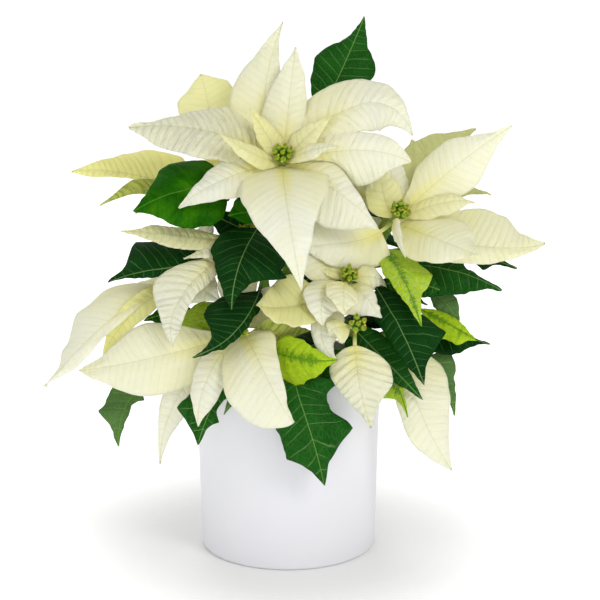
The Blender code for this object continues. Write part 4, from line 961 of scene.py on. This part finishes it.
def leaf_material():
    """Green by the leaf's hue: near black, mid green, greyish, bright, or lime with a green middle."""
    n = Nodes("leaf")
    f = blade_fields(n)
    patch = n.noise(f.where, 0.055, 4.0)
    speck = n.noise(f.where, 0.5)
    blotch = n.ramp(patch, 0.3, 0.7)
    dark = n.mix(blotch, (0.002, 0.031, 0.003), (0.004, 0.046, 0.005))
    middling = n.mix(blotch, (0.005, 0.070, 0.004), (0.009, 0.098, 0.006))
    muted = n.mix(blotch, (0.075, 0.17, 0.045), (0.10, 0.21, 0.055))
    bright = n.mix(n.ramp(patch, 0.4, 0.8), (0.008, 0.100, 0.0006), (0.06, 0.27, 0.002))
    bright = n.mix(n.ramp(speck, 0.4, 0.7) * 0.35, bright, (0.035, 0.20, 0.002))
    lime = n.mix(n.ramp(speck, 0.3, 0.75), (0.38, 0.65, 0.006), (0.62, 0.78, 0.04))
    inside = 0.62 - f.edge * 0.65 + (patch - 0.5) * 0.9 + (f.streaks - 0.5) * 0.8
    lime = n.mix(n.ramp(inside, 0.35, 0.62) * 0.8, lime, (0.06, 0.26, 0.002))
    rib = n.mix(n.ramp(f.hue, 0.0, 0.5), (0.17, 0.31, 0.09), (0.12, 0.33, 0.03))
    vein_layers = (
        (n.ramp(f.hue, 0.36, 0.5), (0.006, 0.065, 0.0006)),
        (n.ramp(f.hue, 0.6, 0.8), (0.66, 0.72, 0.30)),
        (n.ramp(f.hue, 0.88, 0.95), (0.50, 0.66, 0.05)),
    )
    veins = n.paint(n.mix(n.ramp(f.hue, 0.0, 0.3), (0.11, 0.24, 0.07), (0.24, 0.38, 0.13)), vein_layers)
    layers = (
        (n.ramp(f.hue, 0.02, 0.15), middling),
        (n.ramp(f.hue, 0.2, 0.3), muted),
        (n.ramp(f.hue, 0.36, 0.5), bright),
        (n.ramp(f.hue, 0.65, 0.85), lime),
        (f.net * (0.04 + f.hue * 0.4), veins),
        (f.lateral_vein * 0.55, veins),
        (f.rib * 0.8, rib),
        (1.0 - n.ramp(f.share, -0.6, 0.05), (0.17, 0.33, 0.05)),
    )
    colour = n.paint(dark, layers)
    height = n.noise(f.where, 0.8, 4.0) * 0.3 - f.net * 0.3 + (f.pillow + f.streaks) * 0.5
    normal = n.bump(height, 0.6, 0.0006)
    n.see_through(0.08 + f.hue * 0.25, n.mix(0.4, colour, (0.10, 0.38, 0.003)), normal)
    return n.done(Base_Color=colour, Roughness=0.38 + speck * 0.18, Specular_IOR_Level=0.04)


def cup_material():
    """Green cups, yellower above, with yellow glands and yellow-green or a few dark red tips."""
    n = Nodes("cup")
    kind, height, _ = n.attribute("tone")
    speck = n.noise(n.place(), 900.0)
    layers = (
        (n.ramp(height, 0.45, 1.0), (0.27, 0.40, 0.02)),
        (n.ramp(kind, 0.2, 0.5), (0.62, 0.52, 0.05)),
        (n.ramp(kind, 0.6, 0.9), (0.34, 0.10, 0.02)),
    )
    colour = n.paint(n.mix(n.ramp(speck, 0.35, 0.7), (0.04, 0.14, 0.003), (0.11, 0.25, 0.008)), layers)
    n.bump(speck, 0.35, 0.0002)
    n.set(Subsurface_Weight=0.1, Subsurface_Scale=0.002)
    return n.done(Base_Color=colour, Roughness=0.45, Specular_IOR_Level=0.3)


def glaze_material():
    """White glaze, a little uneven."""
    n = Nodes("white_glaze")
    where = n.place()
    cloud = n.noise(where, 14.0)
    n.bump(n.noise(where, 30.0, 2.0) * 0.8 + n.noise(where, 320.0, 2.0) * 0.15, 0.12, 0.0006)
    colour = n.mix(cloud, (0.755, 0.755, 0.795), (0.785, 0.785, 0.82))
    return n.done(Base_Color=colour, Roughness=0.34 + cloud * 0.14, Specular_IOR_Level=0.35)


def plastic_material():
    """The liner's dark plastic."""
    n = Nodes("liner_plastic")
    fine = n.noise(n.place(), 900.0)
    n.bump(fine, 0.2, 0.0002)
    return n.done(Base_Color=n.mix(fine, (0.018, 0.018, 0.018), (0.035, 0.034, 0.033)), Roughness=0.55)


def peat_material():
    """Dark crumbs with a few pale grains."""
    n = Nodes("potting_mix")
    where = n.place()
    crumbs = n.noise(where, 420.0, 5.0, 0.7)
    fibres = n.node("ShaderNodeTexVoronoi", Vector=where, Scale=330.0, Randomness=1.0)
    grains = n.ramp(n.noise(where, 140.0, 2.0), 0.66, 0.74) * 0.7
    dark = n.mix(n.ramp(crumbs, 0.3, 0.7), (0.012, 0.007, 0.004), (0.06, 0.034, 0.018))
    n.bump(crumbs + fibres, 0.9, 0.0018)
    colour = n.mix(grains, dark, (0.35, 0.31, 0.25))
    return n.done(Base_Color=colour, Roughness=0.95, Specular_IOR_Level=0.2)


# Pieces

CUP_SIDES = 14
CUP_PROFILE = (
    *((0.3, -1.35), (0.62, -1.05), (0.92, -0.45), (1, 0.15)),
    *((0.9, 0.7), (0.66, 1.05), (0.5, 1.2), (0.34, 1.12)),
)
CUP_MOUTH = 0.95
STAMENS = 6
GREEN, PALE_TIP, MOUTH, GLAND, RED_TIP = 0.0, 0.35, 0.4, 0.5, 1.0

POT_STEPS = 160
SOIL_STEPS = 200
SOIL_RINGS = 60
CRUMB_WAVES = 14
CRUMB_SEED, BLADE_SEED = 5, 12
CRUMB_HEIGHT = 0.28
DRAWN_GRID = (84, 22)
UNSEEN_GRID = (46, 16)
NARROW = 26


def dress(piece, node, look, slot):
    """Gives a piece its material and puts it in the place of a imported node."""
    piece.data.materials.append(look)
    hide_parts(node)
    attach(piece, "root")


def cup_shape(place, size, rng):
    """One flower cup: an urn with a lip, a yellow gland at its side and a tuft of red and yellow stamens."""
    turn = np.linspace(0, 2 * pi, CUP_SIDES, endpoint=False)
    squash = 1 + 0.06 * np.sin(5 * turn + rng.uniform(0, 6))
    points = [on_circle(r * k, a, z) for r, z in CUP_PROFILE for a, k in zip(turn, squash)]
    kinds = [(GREEN, (z + 1.35) / 2.55, 0) for *_, z in points]
    last = len(points) - CUP_SIDES
    faces = band_faces(len(CUP_PROFILE), CUP_SIDES)
    faces += [(last + k, last + (k + 1) % CUP_SIDES, last + CUP_SIDES) for k in range(CUP_SIDES)]
    faces.append(tuple(range(CUP_SIDES))[::-1])
    points.append((0, 0, CUP_MOUTH))
    kinds.append((MOUTH, 1, 0))
    spin = rng.uniform(0, 6.28)
    blobs = [(on_circle(0.95, spin, 0.75), 0.42, GLAND, 0.6)]
    for k in range(STAMENS):
        reach = 0.14 + 0.3 * rng.uniform(0, 1)
        top = 1.25 + 0.65 * rng.uniform(0, 1)
        tip = RED_TIP if rng.uniform(0, 1) < 0.22 else PALE_TIP
        blobs.append((on_circle(reach, spin + k * 2.4, top), 0.2, tip, 1.6))
    for (x, y, z), radius, kind, tall in blobs:
        blob_points, blob_faces = ball(radius, 1)
        faces += [tuple(len(points) + i for i in face) for face in blob_faces]
        points += [(p.x + x, p.y + y, p.z * tall + z) for p in blob_points]
        kinds += [(kind, 0.5, 0)] * len(blob_points)
    matrix = np.array(place)
    points = (np.array(points) * size) @ matrix[:3, :3].T + matrix[:3, 3]
    return points, faces, {"tone": np.array(kinds, float)}


def cup_cluster(name, spot, rng):
    """A head's disc with a ring of flower cups on it and one more in the middle."""
    turn = spot.axis.to_track_quat("Z", "Y").to_matrix().to_4x4()
    base = Matrix.Translation(spot.centre) @ turn
    ring = max(CUP_RADIUS * 2.1, spot.cups * CUP_RADIUS * 2.15 / (2 * pi))
    foot = spot.centre + spot.axis * GAP
    disc_line = [foot + spot.axis * CUP_DISC * k for k in (0, 0.5, 0.95, 1.0)]
    points, faces, _ = tube(disc_line, [HUB_RADIUS * 0.8, ring * 0.75, ring * 0.95, ring * 0.8], 20, 1)
    shapes = [(points, faces, {"tone": np.tile([GREEN, 0.15, 0.0], (len(points), 1))})]
    for k in range(spot.cups + 1):
        angle = 2 * pi * (k + 0.37) / spot.cups
        out = ring * 0.94 if k < spot.cups else 0
        lean = Matrix.Rotation(0.32 if out else 0, 4, Vector((-sin(angle), cos(angle), 0)))
        rise = GAP + CUP_DISC + 1.5 + rng.uniform(-0.5, 0.7)
        place = base @ Matrix.Translation(on_circle(out, angle, rise)) @ lean
        shapes.append(cup_shape(place, CUP_RADIUS * rng.uniform(0.86, 1.06), rng))
    return joined(name, shapes)


def stem_piece(name):
    """A stem that narrows upward, with a slight swelling now and then."""
    line = stem_line(name, 28)
    radii = np.linspace(STEM_BASE_RADIUS, STEM_TOP_RADIUS, len(line))
    return tube(line, radii + 0.18 * np.sin(np.linspace(0, 26, len(line))), 14, len(name))


def hub_shape(spot):
    """The short end of a shoot that the bracts grow from."""
    steps = [spot.foot + spot.axis * HUB_LENGTH * k for k in (0, 0.25, 0.6, 0.9, 1.0)]
    return tube(steps, [HUB_RADIUS * k for k in (0.8, 0.86, 1, 1, 0.7)], 16, 2)


def arc(centre, radius, start, end, count):
    """Points of a profile on an arc between two angles in degrees."""
    angles = np.radians(np.linspace(start, end, count))
    return [(centre[0] + radius * cos(a), centre[1] + radius * sin(a)) for a in angles]


def smooth_pot():
    """The pot's profile: from the middle of its floor up inside, over the rim and down to its foot."""
    top = POT_HEIGHT - POT_WALL / 2
    inner = POT_FOOT_RADIUS - POT_WALL
    profile = [(0, POT_FLOOR)]
    profile += arc((inner - POT_FILLET, POT_FLOOR + POT_FILLET), POT_FILLET, -90, 0, 6)
    profile += arc((POT_TOP_RADIUS - POT_WALL / 2, top), POT_WALL / 2, 180, 0, 12)
    for share in np.arange(1, 12) / 12:
        radius = POT_TOP_RADIUS + (POT_FOOT_RADIUS - POT_TOP_RADIUS) * share
        profile.append((radius, top + (POT_EDGE - top) * share))
    return profile + arc((POT_FOOT_RADIUS - POT_EDGE, POT_EDGE), POT_EDGE, 0, -90, 7) + [(0, 0)]


def peat_profile():
    """The potting mix's profile: a low mound, and the liner's inside below it."""
    foot = POT_FLOOR + GAP + LINER_WALL + GAP
    taper = (LINER_TOP_RADIUS - LINER_FOOT_RADIUS) / (LINER_HEIGHT - 5)
    outer = LINER_FOOT_RADIUS - LINER_WALL - GAP
    rim = outer + taper * (SOIL_TOP - foot)
    steps = range(SOIL_RINGS + 1)
    mound = [(rim * k / SOIL_RINGS, SOIL_TOP + SOIL_MOUND * cos(k / SOIL_RINGS * pi / 2)) for k in steps]
    return [*mound, (outer, foot), (0, foot)]


def crumble(points):
    """Raises and sinks the top of the potting mix in crumbs."""
    top = points[:, 2] > SOIL_TOP - 2
    x, y = points[:, 0], points[:, 1]
    rng = np.random.default_rng(CRUMB_SEED)
    lift = np.zeros(len(points))
    for k in range(CRUMB_WAVES):
        f = 0.18 * 1.28**k
        a = rng.uniform(0, 6.28)
        lift += np.sin((x * cos(a) + y * sin(a)) * f + rng.uniform(0, 6.28)) * 0.9 / (k + 1) ** 0.4
    points[:, 2] += np.where(top, lift * CRUMB_HEIGHT, 0)
    return points


def grid_of(b):
    """How many rows and columns of points a blade has. The columns are odd, so that one is its midrib."""
    rows, columns = DRAWN_GRID if b.rank < 2 else UNSEEN_GRID
    if b.width < NARROW:
        rows, columns = rows * 2 // 3, columns * 2 // 3
    return rows, columns + 1 - columns % 2


def build():
    """Every piece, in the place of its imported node; the liner stays and gets its material."""
    bract_look, leaf_look, cup_look = bract_material(), leaf_material(), cup_material()
    placed = arrange()
    rng = np.random.default_rng(BLADE_SEED)
    for name, spot in HEADS.items():
        for node, form, look, slot, core in (
            ("stem_" + name, LEAF_FORM, leaf_look, "leaf", stem_piece(name)),
            ("bracts_" + name, BRACT_FORM, bract_look, "bract", hub_shape(spot)),
        ):
            blades = placed.get(node, [])
            shapes = [core] + [fine_blade(b, root, rng, *grid_of(b), form) for b, root in blades]
            dress(joined("fine_" + node, shapes), node, look, slot)
        dress(cup_cluster("fine_cups_" + name, spot, rng), "cups_" + name, cup_look, "cup")
    dress(lathe("fine_pot", smooth_pot(), POT_STEPS), "pot", glaze_material(), "white_glaze")
    soil = lathe("fine_potting_mix", peat_profile(), SOIL_STEPS, crumble)
    dress(soil, "potting_mix", peat_material(), "potting_mix")
    plastic = plastic_material()
    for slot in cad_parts["liner"].material_slots:
        slot.material = plastic


# Stage

WHITE = (1.0, 1.0, 1.0)
WARM_WHITE = (1.0, 0.99, 0.97)
# Each light's place, target and size in metres, its power in watts and its colour.
LIGHTS = {
    "key": ((1.1, -1.5, 1.6), (0, 0, 0.22), 0.8, 15.2, WARM_WHITE),
    "fill": ((-1.5, -1.2, 0.9), (0, 0, 0.2), 1.4, 4, WHITE),
    "front": ((-0.2, -1.9, 0.25), (0, 0, 0.2), 1.0, 4, WHITE),
    "back": ((-0.3, 1.4, 1.5), (0, 0, 0.25), 1.0, 8, WHITE),
}
SKY_STRENGTH = 0.6
FLOOR_SIZE = 30
# The floor's glow: low within a painted shadow round the pot and full beyond it, with the radii in metres over
# which the painted shadow's edge fades.
FLOOR_GLOW_IN_PAINTED_SHADOW = 0.02
FLOOR_GLOW_BEYOND_PAINTED_SHADOW = 0.5
PAINTED_SHADOW_EDGE_FROM, PAINTED_SHADOW_EDGE_TO = 0.08, 0.26


def area_light(name, place, target, size, power, colour):
    """A square light that faces its target."""
    data = bpy.data.lights.new(name, "AREA")
    data.size = size
    data.energy = power
    data.color = colour
    light = add_object(name, data)
    light.location = place
    light.rotation_euler = (Vector(target) - Vector(place)).to_track_quat("-Z", "Y").to_euler()


def stage():
    """A white floor that glows beyond the object and less round it, as a painted shadow, soft studio light and
    the photograph's viewpoint.
    """
    scene = bpy.context.scene
    bpy.ops.mesh.primitive_plane_add(size=FLOOR_SIZE, location=(0, 0, 0))
    floor = bpy.context.object
    floor.name = "floor"
    n = Nodes("floor")
    out_there = n.node("ShaderNodeVectorMath", n.place(), out=1, options={"operation": "LENGTH"})
    # painted shadow: the floor glows less near the pot
    glow_round_painted_shadow = FLOOR_GLOW_IN_PAINTED_SHADOW + n.ramp(out_there, PAINTED_SHADOW_EDGE_FROM, PAINTED_SHADOW_EDGE_TO) * FLOOR_GLOW_BEYOND_PAINTED_SHADOW
    n.set(Base_Color=(0.9, 0.9, 0.9), Roughness=0.9, Specular_IOR_Level=0.0)
    floor.data.materials.append(n.done(Emission_Color=WHITE, Emission_Strength=glow_round_painted_shadow))
    world = bpy.data.worlds.new("studio")
    scene.world = world
    world.use_nodes = True
    sky = world.node_tree.nodes["Background"]
    sky.inputs[0].default_value = (*WHITE, 1)
    sky.inputs[1].default_value = SKY_STRENGTH
    for name, light in LIGHTS.items():
        area_light(name, *light)
    scene.view_settings.view_transform = "Standard"
    data = bpy.data.cameras.new("camera")
    data.sensor_width = 36
    data.lens = LENS
    camera = add_object("camera", data)
    camera.location = EYE * MM
    camera.rotation_euler = (radians(90 - PITCH), 0, 0)
    scene.camera = camera


stage()
build()
